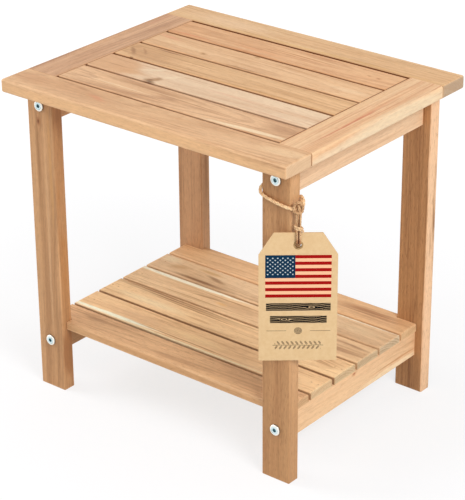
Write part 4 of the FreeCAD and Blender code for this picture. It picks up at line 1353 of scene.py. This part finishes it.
def printedPlank(u, v, drift, values, edges):  # printed solid, with the card showing as its grain and knot
    left, right, top, bottom, knotU, knotV = edges
    long, high = values["plankKnot"]
    body = (u + drift(0.0, 0.9, 3.0) * 1.2).inside(left, right, 0.25) * v.inside(top, bottom, 0.25)
    gapU = (u - knotU) / long
    gapV = (v - knotV) / high
    ring = reachOf(gapU, gapV)
    hump = ring.maths("EXPONENT", ring * ring * -0.6)
    flow = v + drift(0.05, 0.02, left) * 6.0 + hump * gapV.maths("TANH", gapV * 1.6) * -2.4
    groove = ((flow / values["plankGrain"]).part() - 0.5).size() * 2.0
    grain = groove.rise(0.78, 0.90) * hump.rise(0.80, 0.62)
    eye = ((ring * 1.5 + 0.35).part() - 0.5).size().rise(0.33, 0.42) * ring.rise(1.05, 0.95)
    return body * (1.0 - (grain + eye).least(1.0) * 0.92)


def growthRoundel(u, v, drift, values):
    middle, height = values["roundel"]
    reach = reachOf(u - middle, (v - height) / 0.95)
    rings = (((reach + drift(0.3, 0.3, 2.0) * 1.2) / values["roundelRing"]).part() - 0.5).size() * 2.0
    return rings.rise(0.66, 0.46) * reach.rise(*values["roundelRim"])


def leafyTwig(u, v, drift, values):  # a stem with a row of small leaves on each side
    left, right, height = values["twig"]
    step, lean = values["leafStep"], values["leafLean"]
    halfWide, halfLong = values["leafSize"]
    low, high = (height + edge for edge in values["stemEdges"])
    twig = (v + drift(0.06, 0.0, 6.0) * 2.0).inside(low, high, 0.15) * u.inside(left, right, 0.4)
    for side in (-1, 1):
        du = (((u - values["roundel"][0] + side * 1.4) / step).part() - 0.5) * step
        dv = (v - height) * side - halfLong
        acrossLeaf = (du * math.cos(lean) + dv * math.sin(lean)) / halfWide
        alongLeaf = (dv * math.cos(lean) - du * math.sin(lean)) / halfLong
        leaf = reachOf(acrossLeaf, alongLeaf).rise(1.06, 0.94) * acrossLeaf.size().rise(0.10, 0.24)
        twig = twig + leaf * u.inside(left + 2.6, right - 3.0, 0.1)
    return twig


def makeCardFinish(values):
    material, start = newFinish("printedKraft")
    place = start.texture()
    corner = onTag(tagMiddle - tagValues["cardWidth"] / 2, 0.0, tagValues["cardTop"])
    fromCorner = place.vector("SUBTRACT", tuple(corner))
    u = fromCorner.along(tagWay) * 1000.0
    v = fromCorner.axes()[2] * -1000.0
    front = start.texture("Normal").along(tagOutward).rise(0.6, 0.9)

    def drift(wide, high, seed):  # slow noise on the card, about 0
        return start.spot(u * wide, v * high, seed).noise(1.0, 0.5) - 0.5

    # recycled paper: mottling, long pale and dark fibres
    mottle = place.scaled(160.0, 160.0, 160.0).noise(3.0, 0.6)
    fibre = place.scaled(900.0, 900.0, 240.0).noise(2.0, 0.65)
    strand = place.scaled(380.0, 380.0, 1500.0).noise(2.0, 0.6)
    card = mottle.rise(0.3, 0.7).between(paint(226, 194, 149), paint(221, 187, 141))
    card = card.over(fibre.rise(0.60, 0.72) * 0.25, paint(204, 168, 118))
    card = card.over(strand.rise(0.64, 0.74) * 0.25, paint(236, 210, 166))
    card = card.over((1.0 - front) * 0.35, paint(206, 172, 126))

    shade, panel = stripedPanel(u, v, values)
    first, second = (printedPlank(u, v, drift, values, edges) for edges in values["planks"])
    planks = first + second
    one, other = values["rules"]
    rules = v.inside(*values["ruleEdges"]) * (u.inside(*one, 0.3) + u.inside(*other, 0.3))
    inks = {key: paint(*tone) for key, tone in values["inks"].items()}
    printed = card.over(panel, shade).over(planks, inks["plank"])
    printed = printed.over(growthRoundel(u, v, drift, values) * 0.95, inks["roundel"])
    printed = printed.over((rules + leafyTwig(u, v, drift, values)).least(1.0) * 0.85, inks["twig"])
    printed = printed.over(fibre.rise(0.68, 0.80) * 0.10, card)
    height = mottle * 0.6 + fibre * 0.5 - (panel + planks) * 0.12
    closeFinish(start, card.over(front, printed), 0.80 + fibre * 0.12 - panel * front * 0.08, height, 0.00005,
                {"Specular IOR Level": 0.12})
    return material


nodes["tag_card"].material_slots[0].material = makeCardFinish(cardValues)
print("card printed")
